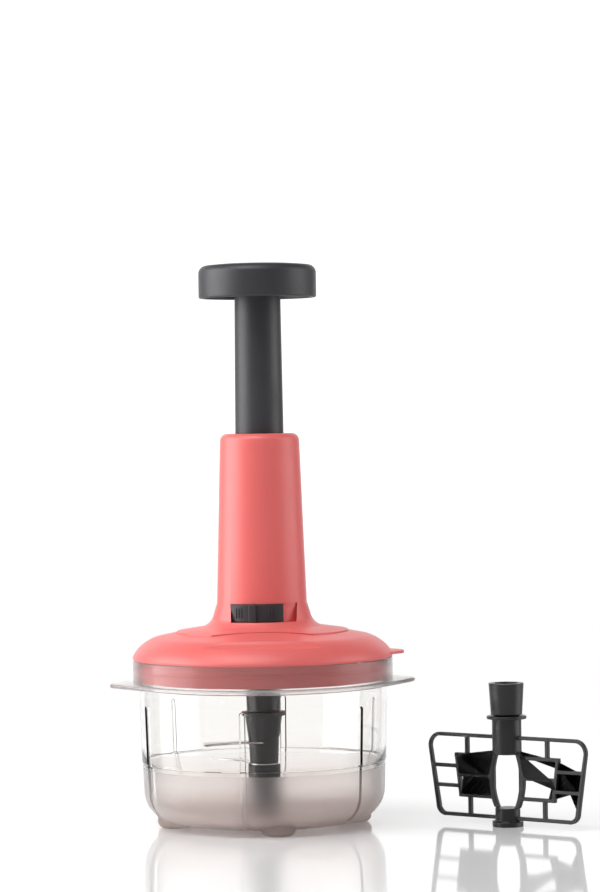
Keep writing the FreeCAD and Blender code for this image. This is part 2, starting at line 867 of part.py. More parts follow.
def make_lid_scoop():
    """Wide shallow scoop across the front of the dome, cut by a ring that bends less than the dome."""
    slope_height = size.dome_edge_height - (size.scoop_forward - size.foot_plate_radius) * size.dome_slope
    lift = size.scoop_radius - size.scoop_depth
    middle = size.scoop_ring + lift * sine(size.scoop_lean)
    height = slope_height - size.scoop_depth / 2 + lift * cosine(size.scoop_lean)
    ring = turned("lid_scoop", [
        (middle - size.scoop_radius, height, size.scoop_radius, 1),
        (middle + size.scoop_radius, height, size.scoop_radius, 1),
    ])
    return move(ring, 0, size.scoop_ring - size.scoop_forward, 0)


def make_lid_seal():
    """Soft ring in the skirt's groove."""
    groove = size.rim_radius - size.rim_wall - size.loose_gap * 2 - size.seal_depth
    low = size.seal_height + size.running_gap
    high = size.seal_height + size.seal_tall - size.running_gap
    keep("lid_seal", turned("seal_turning", [
        (groove + size.press_gap, low),
        (groove + size.seal_depth, low),
        (groove + size.seal_depth + size.loose_gap, (low + high) / 2),
        (groove + size.seal_depth, high),
        (groove + size.press_gap, high),
    ]))


def make_lid_plate():
    """Underside cover of the lid, with a boss that holds the lower bush."""
    radius = size.rim_radius - size.rim_wall - size.loose_gap * 3 - size.skirt_wall
    boss_top = size.lower_bush_bottom + size.lower_bush_tall
    plate_top = size.plate_height + size.plate_thickness
    bore = size.lower_bush_radius + size.press_gap
    disc = turned("plate_turning", [
        (bore, size.lower_bush_bottom),
        (size.plate_boss, size.lower_bush_bottom),
        (size.plate_boss, size.plate_height),
        (radius, size.plate_height),
        (radius, plate_top - size.press_gap),
        (size.plate_boss, plate_top - size.press_gap),
        (size.plate_boss, boss_top - size.press_gap),
        (bore, boss_top - size.press_gap),
    ])

    def passage(name, x, y):
        return rod(name, size.screw_radius + size.press_gap, size.plate_height - size.overcut,
                   plate_top + size.overcut, x, y)

    holes = around("plate_passage", 4, size.post_circle, passage, 45)
    keep("lid_plate", cut("plate_cut", disc, holes))


def screw(name, x, y, head_top, tip):
    """Return a pan-head screw that points up, with its head under head_top."""
    body = turned(name, [
        (0, head_top - size.screw_head_tall),
        (size.screw_head, head_top - size.screw_head_tall),
        (size.screw_head, head_top),
        (size.screw_radius, head_top),
        (size.screw_radius, tip - size.screw_radius),
        (0, tip),
    ])
    return move(body, x, y, 0)


def make_lid_screws():
    """Four screws hold the underside plate, and four more hold the tower on the dome."""
    plate_tip = size.plate_height + size.plate_thickness + size.plate_screw_bite

    def plate_screw(name, x, y):
        return screw(name, x, y, size.plate_height, plate_tip)

    keep("plate_screws", group("plate_screw_set", around("plate_screw", 4, size.post_circle,
                                                         plate_screw, 45)))
    bearing_low = size.seat_height - size.lid_roof - size.bearing_plate_thickness

    def tower_screw(name, x, y):
        return screw(name, x, y, bearing_low, size.seat_height + size.tower_screw_bite)

    keep("tower_screws", group("tower_screw_set", around("tower_screw", 4, size.tower_screw_circle,
                                                         tower_screw, 45)))


# --------------------------------------------------------------- tower
def tower_inside_radius(height):
    """Return the tower's inner radius, which follows its outer taper."""
    drop = (size.tower_round_height - height) / (size.tower_round_height - size.tower_foot_height)
    top = size.tower_top_radius - size.tower_wall
    return top + (size.tower_foot_radius - size.tower_top_radius) * drop


def make_tower_shell():
    """Coral tower: tapered tube that flares into a foot, with two inner keys and the lock's window."""
    roof = size.tower_top - size.tower_roof
    foot_bore = size.tower_foot_radius - size.tower_wall
    hole = size.tube_radius + size.loose_gap * 2
    edge_top = size.seat_height + size.foot_plate_edge
    low = size.seat_height + size.press_gap
    shell = turned("tower_turning", [
        (foot_bore, low),
        (size.foot_plate_radius, low),
        (size.foot_plate_radius, edge_top),
        (size.foot_plate_radius - size.foot_plate_rise, edge_top + size.foot_plate_rise),
        (size.flare_start, size.flare_height, size.flare_round, -1),
        (size.tower_foot_radius, size.tower_foot_height),
        (size.tower_top_radius, size.tower_round_height, size.tower_top_round, 1),
        (size.tower_top_flat, size.tower_top),
        (hole, size.tower_top),
        (hole, roof),
        (tower_inside_radius(roof), roof),
        (foot_bore, size.tower_foot_height),
    ])
    key_top = size.bush_bottom - size.loose_gap
    key_low = size.seat_height + size.nut_flange
    reach = (foot_bore + tower_inside_radius(key_top) + size.tower_wall) / 2
    wide = reach - size.key_radius
    keys = []
    for side in (1, -1):
        place = (size.key_radius + wide / 2) * side
        keys.append(block(f"tower_key_{len(keys) + 1}", wide, size.key_width, key_top - key_low,
                          place, 0, key_low))
    foot = size.foot_plate_radius
    front = block("tower_front", foot * 2, foot, size.tower_foot_rise, 0,
                  -size.foot_plate_front - foot / 2, size.seat_height - size.tower_foot_rise / 3)
    window = sector("tower_window", size.window_floor, size.flare_start * 2, size.window_bottom,
                    size.window_top, size.window_left, size.window_right)
    slot_left = size.lock_ridge_angle - size.catch_width / 2
    slot_right = slot_left + size.catch_width + size.lock_travel
    slot = sector("tower_slot", foot_bore - size.overcut, size.window_floor + size.overcut,
                  size.catch_bottom - size.loose_gap, size.catch_bottom + size.catch_thickness
                  + size.loose_gap, slot_left - size.slot_ease, slot_right + size.slot_ease)

    def pilot(name, x, y):
        top = size.seat_height + size.tower_screw_bite + size.loose_gap
        return rod(name, size.screw_radius + size.press_gap, size.seat_height - size.overcut, top, x, y)

    pilots = around("tower_pilot", 4, size.tower_screw_circle, pilot, 45)
    tools = [front, window, slot] + pilots
    keep("tower_shell", cut("tower_cut", fuse("tower_solid", [shell] + keys), tools))


def make_guide_bush():
    """Bush under the tower's top that guides the plunger tube."""
    roof = size.tower_top - size.tower_roof - size.press_gap
    outer = tower_inside_radius(size.tower_top - size.tower_roof) - size.running_gap
    bore = size.tube_radius + size.loose_gap
    keep("guide_bush", turned("bush_turning", [
        (bore, size.bush_bottom),
        (outer, size.bush_bottom),
        (outer, roof),
        (bore, roof),
    ]))


# --------------------------------------------------------------- plunger
def make_plunger_tube():
    """Dark tube that slides in the tower, closed near its top by a web."""
    web = size.tube_top - size.tube_web
    hole = size.screw_radius + size.press_gap
    tube = turned("tube_turning", [
        (size.tube_bore, size.tube_bottom),
        (size.tube_radius, size.tube_bottom),
        (size.tube_radius, size.tube_taper_start),
        (size.tube_top_radius, size.tube_taper_end),
        (size.tube_top_radius, size.tube_top),
        (hole, size.tube_top),
        (hole, web),
        (size.tube_bore, web),
    ])
    keep("plunger_tube", cut("tube_cut", tube, [cross_pin_bars("tube", size.press_gap)]))


def cross_pin_bars(owner, extra):
    """Two level bars across the axis, from the collar's rim into the nut."""
    outer = size.collar_radius - size.cross_pin_set
    inner = size.spiral_radius + size.spiral_clearance + size.cross_pin_set
    bars = []
    for side in (90.0, 270.0):
        bar = rod(f"{owner}_cross_{int(side)}", size.cross_pin_radius + extra, inner - extra, outer + extra)
        bar.Placement = FreeCAD.Placement(Vector(0, 0, 0), FreeCAD.Rotation(Vector(0, 0, 1), side)
                                          * FreeCAD.Rotation(Vector(0, 1, 0), 90))
        direction = 1 if side == 90.0 else -1
        move(bar, 0, (inner - extra) * direction, size.cross_pin_height)
        bars.append(bar)
    return group(f"{owner}_cross", bars)


def make_cross_pins():
    keep("cross_pins", cross_pin_bars("pin", as_length(0)))


def make_drive_nut():
    """Flanged nut in the tube's lower end, with the spiral's section as its bore."""
    bottom = size.tube_bottom - size.nut_flange
    top = size.tube_bottom + size.nut_length
    body = turned("nut_turning", [
        (0, bottom),
        (size.tube_radius, bottom),
        (size.tube_radius, size.tube_bottom - size.press_gap),
        (size.tube_bore - size.press_gap, size.tube_bottom - size.press_gap),
        (size.tube_bore - size.press_gap, top),
        (0, top),
    ])
    gap = size.spiral_clearance.value
    bore = twisted_bar("nut_bore", size.spiral_core.value + gap, size.spiral_radius.value + gap,
                       bottom.value - size.overcut.value, top.value + size.overcut.value)
    keep("drive_nut", cut("nut_cut", body, [bore, cross_pin_bars("nut", size.press_gap)]))


def make_guide_collar():
    """Collar round the tube's lower end: key slots at the sides, a notch for the lock at the front."""
    low = size.tube_bottom + size.press_gap
    high = size.tube_bottom + size.collar_tall
    ring = turned("collar_turning", [
        (size.tube_radius + size.press_gap, low),
        (size.collar_radius, low),
        (size.collar_radius, high),
        (size.tube_radius + size.press_gap, high),
    ])
    slots = []
    for side in (1, -1):
        place = (size.key_radius - size.loose_gap + size.key_depth) * side
        slots.append(block(f"collar_slot_{len(slots) + 1}", size.key_depth * 2,
                           size.key_width + size.loose_gap * 2, size.collar_tall + size.overcut * 2,
                           place, 0, size.tube_bottom - size.overcut))
    notch_left = size.lock_ridge_angle - size.catch_width / 2
    notch = sector("collar_notch", size.catch_inner - size.loose_gap, size.collar_radius + size.overcut,
                   low - size.overcut, high + size.overcut, notch_left - size.slot_ease,
                   notch_left + size.catch_width + size.slot_ease)
    tools = slots + [notch, cross_pin_bars("collar", size.press_gap)]
    keep("guide_collar", cut("collar_cut", ring, tools))


def make_knob():
    """Hollow knob cap, the plate that closes its underside, and the screw that holds it."""
    hole = size.screw_radius + size.press_gap
    seat = size.tube_top_radius + size.press_gap
    plate_low = size.knob_bottom + size.knob_plate_recess
    plate_high = plate_low + size.knob_plate_thickness
    inside = size.knob_radius - size.knob_wall
    post_low = size.tube_top + size.press_gap
    # the crown's arc runs level into the small flat at its middle
    crown_wide = size.knob_crown_radius - size.knob_crown_flat
    crown_rise = size.knob_top - size.knob_crown_height
    crown_round = (crown_wide * crown_wide + crown_rise * crown_rise) / (crown_rise * 2)
    keep("knob_cap", turned("knob_turning", [
        (size.knob_radius, size.knob_bottom),
        (size.knob_radius, size.knob_side_top, size.knob_corner, 1),
        (size.knob_crown_radius, size.knob_crown_height, crown_round, 1),
        (size.knob_crown_flat, size.knob_top),
        (0, size.knob_top),
        (0, size.tube_top + size.knob_screw_bite + size.overcut),
        (hole, size.tube_top + size.knob_screw_bite + size.overcut),
        (hole, post_low),
        (size.knob_post, post_low),
        (size.knob_post, size.knob_roof),
        (seat, size.knob_roof),
        (seat, plate_high + size.press_gap),
        (seat + size.knob_boss_wall, plate_high + size.press_gap),
        (seat + size.knob_boss_wall, size.knob_roof),
        (inside, size.knob_roof),
        (inside, size.knob_bottom),
    ]))
    keep("knob_plate", turned("knob_plate_turning", [
        (seat, plate_low),
        (inside - size.press_gap, plate_low),
        (inside - size.press_gap, plate_high),
        (seat, plate_high),
    ]))
    web = size.tube_top - size.tube_web
    keep("knob_screw", group("knob_screw_set", [screw("knob_screw_turning", 0, 0, web,
                                                      size.tube_top + size.knob_screw_bite)]))


# --------------------------------------------------------------- spiral drive
def make_spiral_shaft():
    """Twisted bar that the nut turns as it comes down, with its thrust flange and journal."""
    thrust_top = size.thrust_bottom + size.thrust_thickness
    stem = turned("shaft_turning", [
        (0, size.journal_bottom),
        (size.journal_radius, size.journal_bottom),
        (size.journal_radius, size.thrust_bottom),
        (size.thrust_radius, size.thrust_bottom),
        (size.thrust_radius, thrust_top),
        (0, thrust_top),
    ])
    low = thrust_top.value - size.thrust_thickness.value / 4
    bar = twisted_bar("shaft_spiral", size.spiral_core.value, size.spiral_radius.value, low,
                      size.spiral_top.value)
    spigot = rod("shaft_spigot", size.spigot_radius, size.spiral_top - size.overcut,
                 size.spiral_top + size.spigot_tall)
    keep("spiral_shaft", fuse("shaft_solid", [stem, bar, spigot]))


def make_shaft_cap():
    """Cap on the shaft's top that seats and centres the return spring."""
    bore = size.spigot_radius + size.press_gap
    low = size.spiral_top + size.press_gap
    flange = size.spiral_top + size.cap_thickness
    top = flange + size.cap_boss_tall
    roof = size.spiral_top + size.spigot_tall + size.press_gap
    keep("shaft_cap", turned("cap_turning", [
        (bore, low),
        (size.cap_radius, low),
        (size.cap_radius, flange),
        (size.cap_boss, flange),
        (size.cap_boss, top),
        (0, top),
        (0, roof),
        (bore, roof),
    ]))


def make_return_spring():
    """Coil spring between the shaft's cap and the web of the tube."""
    wire = size.spring_wire.value
    low = size.spiral_top.value + size.cap_thickness.value + wire + size.press_gap.value
    high = size.tube_top.value - size.tube_web.value - wire - size.press_gap.value
    radius = size.spring_mean_radius.value
    tall = high - low
    helix = Part.makeHelix(tall / size.spring_turns.value, tall, radius)
    helix.translate(Vector(0, 0, low))
    circle = Part.Circle(Vector(radius, 0, low), Vector(0, 1, 0), wire)
    section = Part.Wire([circle.toShape()])
    coil = Part.Wire(helix.Edges).makePipeShell([section], True, True)
    item = document.addObject("Part::Feature", "spring_coil")
    item.Shape = coil
    keep("return_spring", item)


def make_bearing():
    """Bearing plate under the dome's hole, with the bush of the shaft's journal."""
    high = size.seat_height - size.lid_roof
    low = high - size.bearing_plate_thickness
    hub_top = size.thrust_bottom - size.loose_gap / 2
    bore = size.bearing_bush + size.press_gap
    disc = turned("bearing_turning", [
        (bore, size.bearing_bottom),
        (size.bearing_hub, size.bearing_bottom),
        (size.bearing_hub, low),
        (size.bearing_plate_radius, low),
        (size.bearing_plate_radius, high - size.press_gap),
        (size.bearing_hub, high - size.press_gap),
        (size.bearing_hub, hub_top),
        (bore, hub_top),
    ])

    def passage(name, x, y):
        return rod(name, size.screw_radius + size.press_gap, low - size.overcut, high + size.overcut, x, y)

    holes = around("bearing_passage", 4, size.tower_screw_circle, passage, 45)
    keep("bearing_plate", cut("bearing_cut", disc, holes))
    keep("shaft_bush", turned("shaft_bush_turning", [
        (size.journal_radius + size.running_gap, size.bearing_bottom),
        (size.bearing_bush, size.bearing_bottom),
        (size.bearing_bush, hub_top),
        (size.journal_radius + size.running_gap, hub_top),
    ]))


def make_clutch():
    """One-way clutch: a driver on the shaft, rollers in its pockets, and the cup that they wedge in."""
    low = size.journal_bottom
    high = low + size.driver_tall
    bore = size.journal_radius + size.press_gap
    driver = turned("driver_turning", [
        (bore, low),
        (size.driver_radius, low),
        (size.driver_radius, high),
        (bore, high),
    ])

    def pocket(name, x, y):
        return rod(name, size.roller_radius + size.loose_gap, low - size.overcut, high + size.overcut,
                   x, y)

    def roller(name, x, y):
        return rod(name, size.roller_radius, low + size.loose_gap, low + size.loose_gap + size.roller_tall,
                   x, y)

    count = size.roller_count.value
    pockets = around("driver_pocket", count, size.roller_circle, pocket)
    rollers = around("clutch_roller", count, size.roller_circle, roller)
    keep("clutch_driver", cut("driver_cut", driver, pockets))
    keep("clutch_rollers", group("roller_set", rollers))
    floor = size.cup_bottom + size.cup_floor
    hole = size.spindle_spigot + size.press_gap
    keep("clutch_cup", turned("cup_turning", [
        (hole, size.cup_bottom),
        (size.cup_radius, size.cup_bottom),
        (size.cup_radius, high),
        (size.cup_bore, high),
        (size.cup_bore, floor),
        (hole, floor),
    ]))


def make_output_spindle():
    """Spindle from the clutch cup down through the lid plate to the six-sided coupling."""
    floor = size.cup_bottom + size.cup_floor
    shoulder = size.cup_bottom - size.press_gap
    stem = turned("spindle_turning", [
        (0, size.coupling_top - size.overcut),
        (size.journal_radius, size.coupling_top - size.overcut),
        (size.journal_radius, shoulder),
        (size.spindle_spigot, shoulder),
        (size.spindle_spigot, floor - size.press_gap),
        (0, floor - size.press_gap),
    ])
    coupling = hexagon("spindle_coupling", size.coupling_radius, size.coupling_bottom, size.coupling_top)
    keep("output_spindle", fuse("spindle_solid", [stem, coupling]))
    washer_low = size.coupling_top + size.loose_gap
    keep("thrust_washer", turned("washer_turning", [
        (size.journal_radius + size.press_gap, washer_low),
        (size.lower_bush_radius - size.loose_gap, washer_low),
        (size.lower_bush_radius - size.loose_gap, size.lower_bush_bottom - size.loose_gap),
        (size.journal_radius + size.press_gap, size.lower_bush_bottom - size.loose_gap),
    ]))
    top = size.lower_bush_bottom + size.lower_bush_tall - size.press_gap
    keep("spindle_bush", turned("lower_bush_turning", [
        (size.journal_radius + size.running_gap, size.lower_bush_bottom),
        (size.lower_bush_radius, size.lower_bush_bottom),
        (size.lower_bush_radius, top),
        (size.journal_radius + size.running_gap, top),
    ]))


# --------------------------------------------------------------- blades
def blade_outline():
    """Plan of a curved blade that points along +X, with its cutting edge on the +Y side."""
    half = size.blade_root / 2
    inner = size.core_radius + size.blade_root_gap
    return [
        (inner, -half),
        (size.blade_reach - size.blade_sweep, -half, size.blade_reach, 1),
        (size.blade_reach, half - size.blade_tip),
        (size.blade_reach - size.blade_tip, half, size.blade_reach, -1),
        (inner + size.blade_shoulder, half - size.blade_sweep / 6),
        (inner, half),
    ]


def make_flat_blade(label, height, degrees):
    """Blade clamped level between two pieces of the hub."""
    ring = rod(label + "_ring", size.blade_collar, height, height + size.blade_thickness)
    arm = plate(label + "_arm", blade_outline(), size.blade_thickness)
    move(arm, 0, 0, height)
    hole = rod(label + "_hole", size.core_radius + size.press_gap, height - size.overcut,
               height + size.blade_thickness + size.overcut)
    keep(label, cut(label + "_cut", fuse(label + "_solid", [ring, arm]), [hole]), degrees=degrees)


def upper_blade_solid(name):
    """Upper blade: its root leans with the hub's slanted joint, and its arm rises a little."""
    tilt = FreeCAD.Rotation(Vector(0, 1, 0), -size.joint_tilt.value)
    ring = rod(name + "_ring", size.blade_collar, 0, size.blade_thickness)
    ring.Placement = FreeCAD.Placement(Vector(0, 0, 0), tilt)
    move(ring, 0, 0, size.upper_blade_height)
    arm = plate(name + "_arm", blade_outline(), size.blade_thickness)
    rise = FreeCAD.Rotation(Vector(0, 1, 0), -size.upper_blade_rise.value)
    face = FreeCAD.Rotation(Vector(0, 0, 1), size.upper_blade_turn.value)
    arm.Placement = FreeCAD.Placement(Vector(0, 0, 0), face.multiply(rise))
    drop = size.blade_collar * sine(size.joint_tilt) * -cosine(size.upper_blade_turn)
    move(arm, 0, 0, size.upper_blade_height - drop)
    reach = size.core_radius
    hole = rod(name + "_hole", reach + size.press_gap, size.upper_blade_height - reach,
               size.upper_blade_height + reach)
    return cut(name, fuse(name + "_solid", [ring, arm]), [hole])


def above_joint(name):
    """Large block whose underside is the slanted joint between the hub's two upper pieces."""
    wide = size.sleeve_flange_radius * 4
    item = block(name, wide, wide, wide, 0, 0, 0)
    # the block leans about the hub's axis, so its corner is worked out for that lean
    lean = FreeCAD.Rotation(Vector(0, 1, 0), -size.joint_tilt.value)
    middle = size.upper_blade_height.value + size.blade_thickness.value / 2
    corner = lean.multVec(Vector(-wide.value / 2, -wide.value / 2, 0))
    for axis in ("x", "y", "z"):
        item.setExpression(f"Placement.Base.{axis}", None)
    item.Placement = FreeCAD.Placement(corner + Vector(0, 0, middle), lean)
    return item


def make_blades():
    make_flat_blade("lower_blade", size.lower_blade_height, size.lower_blade_turn.value)
    make_flat_blade("middle_blade", size.middle_blade_height, size.middle_blade_turn.value)
    keep("upper_blade", upper_blade_solid("upper_blade_shape"))


def make_hub():
    """Hub of the blades: core, bush, two spacers, body and the sleeve that takes the coupling."""
    bore = size.core_radius + size.press_gap
    bush_top = size.hub_bottom + size.hub_bush_tall
    keep("hub_core", turned("core_turning", [
        (size.hub_bush_radius + size.press_gap, size.hub_bottom),
        (size.core_radius, size.hub_bottom),
        (size.core_radius, size.core_top),
        (0, size.core_top),
        (0, bush_top + size.press_gap),
        (size.hub_bush_radius + size.press_gap, bush_top + size.press_gap),
    ]))
    keep("hub_bush", turned("hub_bush_turning", [
        (size.pin_radius + size.running_gap, size.hub_bottom - size.loose_gap),
        (size.hub_bush_radius, size.hub_bottom - size.loose_gap),
        (size.hub_bush_radius, bush_top),
        (size.pin_radius + size.running_gap, bush_top),
    ]))
    keep("hub_base", turned("hub_base_turning", [
        (bore, size.hub_bottom),
        (size.hub_base_radius, size.hub_bottom),
        (size.hub_base_radius, size.lower_blade_height - size.hub_ease),
        (size.hub_base_radius - size.hub_ease, size.lower_blade_height),
        (bore, size.lower_blade_height),
    ]))
    stem_low = size.lower_blade_height + size.blade_thickness
    keep("hub_stem", turned("hub_stem_turning", [
        (bore, stem_low),
        (size.stem_radius + size.hub_ease, stem_low),
        (size.stem_radius + size.stem_ring, stem_low + size.stem_flare),
        (size.stem_radius + size.stem_ring, size.middle_blade_height),
        (bore, size.middle_blade_height),
    ]))
    make_hub_body(bore)
    make_hub_sleeve(bore)


def make_hub_body(bore):
    low = size.middle_blade_height + size.blade_thickness
    high = size.upper_blade_height + size.blade_thickness * 4
    body = turned("hub_body_turning", [
        (bore, low),
        (size.stem_radius - size.body_waist, low),
        (size.stem_radius, high),
        (bore, high),
    ])
    lower = cut("hub_body_slant", body, [above_joint("joint_over_body")])
    keep("hub_body", cut("hub_body_cut", lower, [upper_blade_solid("blade_in_body")]))


def make_hub_sleeve(bore):
    low = size.upper_blade_height - size.blade_thickness * 3
    flange_top = size.sleeve_flange_height + size.sleeve_flange_thickness
    sleeve = turned("sleeve_turning", [
        (bore, low),
        (size.stem_radius, low),
        (size.stem_radius, size.upper_blade_height),
        (size.sleeve_flare_radius, size.sleeve_flange_height),
        (size.sleeve_flange_radius, size.sleeve_flange_height),
        (size.sleeve_flange_radius, flange_top),
        (size.sleeve_neck_radius, flange_top),
        (size.sleeve_top_radius, size.sleeve_top),
        (0, size.sleeve_top),
        (0, size.core_top + size.press_gap),
        (bore, size.core_top + size.press_gap),
    ])
    upper = common("sleeve_slant", sleeve, above_joint("joint_over_sleeve"))
    socket = hexagon("sleeve_socket", size.socket_radius, size.socket_floor,
                     size.sleeve_top + size.overcut)
    keep("hub_sleeve", cut("sleeve_cut", upper, [socket, upper_blade_solid("blade_in_sleeve")]))


# --------------------------------------------------------------- lock
def make_lock():
    """Sliding lock: a curved button in the window, and its catch inside the tower."""
    low = size.window_bottom + size.loose_gap
    high = size.window_top - size.loose_gap
    inner = size.window_floor + size.loose_gap / 2
    left = size.window_left + size.lock_end_gap
    face = sector("lock_face", inner, size.lock_radius, low, high, left, size.lock_right)
    ridge_half = size.lock_ridge_width / 2 / size.lock_radius * (180 / math.pi)
    ridge = sector("lock_ridge", inner, size.lock_radius + size.lock_ridge_height, low, high,
                   size.lock_ridge_angle - ridge_half, size.lock_ridge_angle + ridge_half)
    catch_top = size.catch_bottom + size.catch_thickness
    catch_outer = size.tower_foot_radius - size.tower_wall - size.loose_gap
    neck_half = size.neck_width / 2
    neck = sector("lock_neck", catch_outer + size.press_gap, inner + size.loose_gap, size.catch_bottom,
                  catch_top,
                  size.lock_ridge_angle - neck_half, size.lock_ridge_angle + neck_half)
    keep("lock_button", fuse("lock_solid", [face, ridge, neck]))
    keep("lock_catch", sector("lock_catch_shape", size.catch_inner, catch_outer, size.catch_bottom, catch_top,
                              size.lock_ridge_angle - size.catch_width / 2,
                              size.lock_ridge_angle + size.catch_width / 2))


# --------------------------------------------------------------- whisk
def whisk_bar(name, x1, z1, x2, z2):
    """Straight bar of the lattice between two points of its plane."""
    length = math.hypot(x2.value - x1.value, z2.value - z1.value)
    along = Vector(x2.value - x1.value, 0, z2.value - z1.value).normalize()
    across = Vector(-along.z, 0, along.x)
    thick = size.whisk_bar.value
    start = Vector(x1.value, 0, z1.value) - across * thick / 2
    corners = [start, start + along * length, start + along * length + across * thick,
               start + across * thick]
    deep = size.whisk_depth.value
    face = Part.Face(Part.makePolygon([corner - Vector(0, deep / 2, 0) for corner in corners]
                                      + [corners[0] - Vector(0, deep / 2, 0)]))
    item = document.addObject("Part::Feature", name)
    item.Shape = face.extrude(Vector(0, deep, 0))
    return item


def wing_frame_outline(inset):
    """Outline of the lattice's outer frame, a tapered oblong with rounded corners."""
    top = size.whisk_top - inset
    bottom = size.whisk_bottom + inset
    wide = size.whisk_top_reach - inset
    narrow = size.whisk_bottom_reach - inset
    round_top = size.whisk_top_corner - inset
    round_bottom = size.whisk_bottom_corner - inset
    lean = (size.whisk_top_reach - size.whisk_bottom_reach) / (size.whisk_top - size.whisk_bottom)
    outline = []
    for side in (1, -1):
        corners = [
            ((narrow - round_bottom) * side, bottom, round_bottom, side),
            ((narrow + lean * round_bottom) * side, bottom + round_bottom),
            ((wide - lean * round_top) * side, top - round_top, round_top, side),
            ((wide - round_top) * side, top),
        ]
        if side < 0:
            corners = mirrored_order(corners)
        outline += corners
    return outline


def mirrored_order(corners):
    """Return corners in the opposite order, with each arc kept on its own edge."""
    order = [corner[:2] for corner in reversed(corners)]
    for number, corner in enumerate(corners):
        if len(corner) > 2:
            place = len(corners) - 2 - number
            order[place] = order[place] + (corner[2], -corner[3])
    return order


def make_whisk_bars():
    """Bars of both wings: an inner bracket, posts above and below it, and level bars."""
    near = size.whisk_hub_radius
    middle = (size.bracket_top + size.bracket_bottom) / 2
    slope = (size.bracket_top_reach - size.bracket_bottom_reach) / (size.bracket_top - size.bracket_bottom)

    def bracket_reach(height):
        return size.bracket_bottom_reach + (height - size.bracket_bottom) * slope

    lean = (size.whisk_top_reach - size.whisk_bottom_reach) / (size.whisk_top - size.whisk_bottom)

    def frame_reach(height):
        return size.whisk_bottom_reach + (height - size.whisk_bottom) * lean - size.whisk_bar

    half = size.whisk_bar / 2
    lines = [
        (near, size.bracket_top, size.bracket_top_reach + half, size.bracket_top),
        (near, size.bracket_bottom, size.bracket_bottom_reach + half, size.bracket_bottom),
        (size.bracket_top_reach, size.bracket_top, size.bracket_bottom_reach, size.bracket_bottom),
        (near, middle, bracket_reach(middle), middle),
        (size.upper_post, size.bracket_top, size.upper_post, size.whisk_top - half),
        (size.lower_post, size.bracket_bottom, size.lower_post, size.whisk_bottom + half),
    ]
    for height in (size.outer_bar_high, size.outer_bar_low):
        lines.append((bracket_reach(height), height, frame_reach(height) + half, height))
    bars = []
    for side in (1, -1):
        for x1, z1, x2, z2 in lines:
            bars.append(whisk_bar(f"whisk_bar_{len(bars) + 1}", x1 * side, z1, x2 * side, z2))
    return bars


def make_barrel():
    """Two bowed bars round the oval opening under the whisk's hub."""
    def oval(name, inset, beyond):
        reach = size.barrel_end - inset
        bow = barrel_round(inset)
        return plate(name, [
            (reach, size.barrel_bottom - beyond, bow, 1),
            (reach, size.barrel_top + beyond),
            (-reach, size.barrel_top + beyond, bow, 1),
            (-reach, size.barrel_bottom - beyond),
        ], size.whisk_depth, role="XZ_Plane", centred=True)

    thick = size.whisk_bar + size.whisk_bar / 2
    return oval("barrel_outer", as_length(0), as_length(0)), oval("barrel_inner", thick, as_length(0))


def barrel_round(inset):
    """Radius of a bowed bar that swells from its ends to the barrel's bulge."""
    half = (size.barrel_top - size.barrel_bottom) / 2
    sag = size.barrel_bulge - size.barrel_end
    return (half * half + sag * sag) / (sag * 2)


def make_whisk_frame():
    """Moulded whisk: hub cylinder, bowed bars, lattice wings and the round foot."""
    outer = plate("wing_outer", wing_frame_outline(as_length(0)), size.whisk_depth, "XZ_Plane", True)
    inner = plate("wing_inner", wing_frame_outline(size.whisk_bar), size.whisk_depth * 2, "XZ_Plane", True)
    ring = cut("wing_ring", outer, [inner])
    barrel, opening = make_barrel()
    hub_low = size.barrel_top - size.whisk_bar
    flange_top = size.whisk_flange_height + size.whisk_flange_thickness
    hub = turned("whisk_hub", [
        (0, hub_low),
        (size.whisk_hub_radius, hub_low),
        (size.whisk_hub_radius, size.whisk_flange_height),
        (size.whisk_flange_radius, size.whisk_flange_height),
        (size.whisk_flange_radius, flange_top),
        (0, flange_top),
    ])
    foot = turned("whisk_foot", [
        (0, 0),
        (size.whisk_foot_radius, 0),
        (size.whisk_foot_radius, size.whisk_foot_tall),
        (size.whisk_neck_radius, size.whisk_foot_tall),
        (size.whisk_neck_radius, size.barrel_bottom),
        (0, size.barrel_bottom),
    ])
    inside = block("barrel_clearing", size.barrel_end * 2, size.whisk_depth * 2,
                   hub_low - size.barrel_bottom, 0, 0, size.barrel_bottom)
    lattice = cut("whisk_lattice", fuse("whisk_bars", [ring, barrel] + make_whisk_bars()),
                  [common("barrel_hole", opening, inside)])
    spigot = size.whisk_spigot_radius + size.press_gap
    seat = rod("whisk_seat", spigot, flange_top - size.whisk_spigot_tall - size.press_gap,
               flange_top + size.overcut)
    pin_hole = rod("whisk_pin_hole", size.pin_radius + size.loose_gap / 2, -size.overcut,
                   size.barrel_bottom - size.overcut)
    solid = cut("whisk_solid", fuse("whisk_whole", [lattice, hub, foot]), [seat, pin_hole])
    place_whisk("whisk_frame", solid)


def make_whisk_socket():
    """Sleeve on top of the whisk, with the same six-sided socket as the blade hub."""
    flange_top = size.whisk_flange_height + size.whisk_flange_thickness
    top = size.whisk_sleeve_top
    neck = size.whisk_hub_radius - size.whisk_neck_set
    sleeve = turned("whisk_sleeve_turning", [
        (0, flange_top - size.whisk_spigot_tall),
        (size.whisk_spigot_radius, flange_top - size.whisk_spigot_tall),
        (size.whisk_spigot_radius, flange_top + size.press_gap),
        (neck, flange_top + size.press_gap),
        (neck, size.whisk_sleeve_bottom),
        (size.whisk_sleeve_bottom_radius, size.whisk_sleeve_bottom),
        (size.sleeve_top_radius, top),
        (0, top),
    ])
    socket = hexagon("whisk_socket_bore", size.socket_radius, top - size.whisk_socket_depth,
                     top + size.overcut)
    place_whisk("whisk_socket", cut("whisk_socket_cut", sleeve, [socket]))


def place_whisk(label, item):
    keep(label, item, size.whisk_distance - size.stand_offset, -size.whisk_forward, -size.whisk_turn.value)


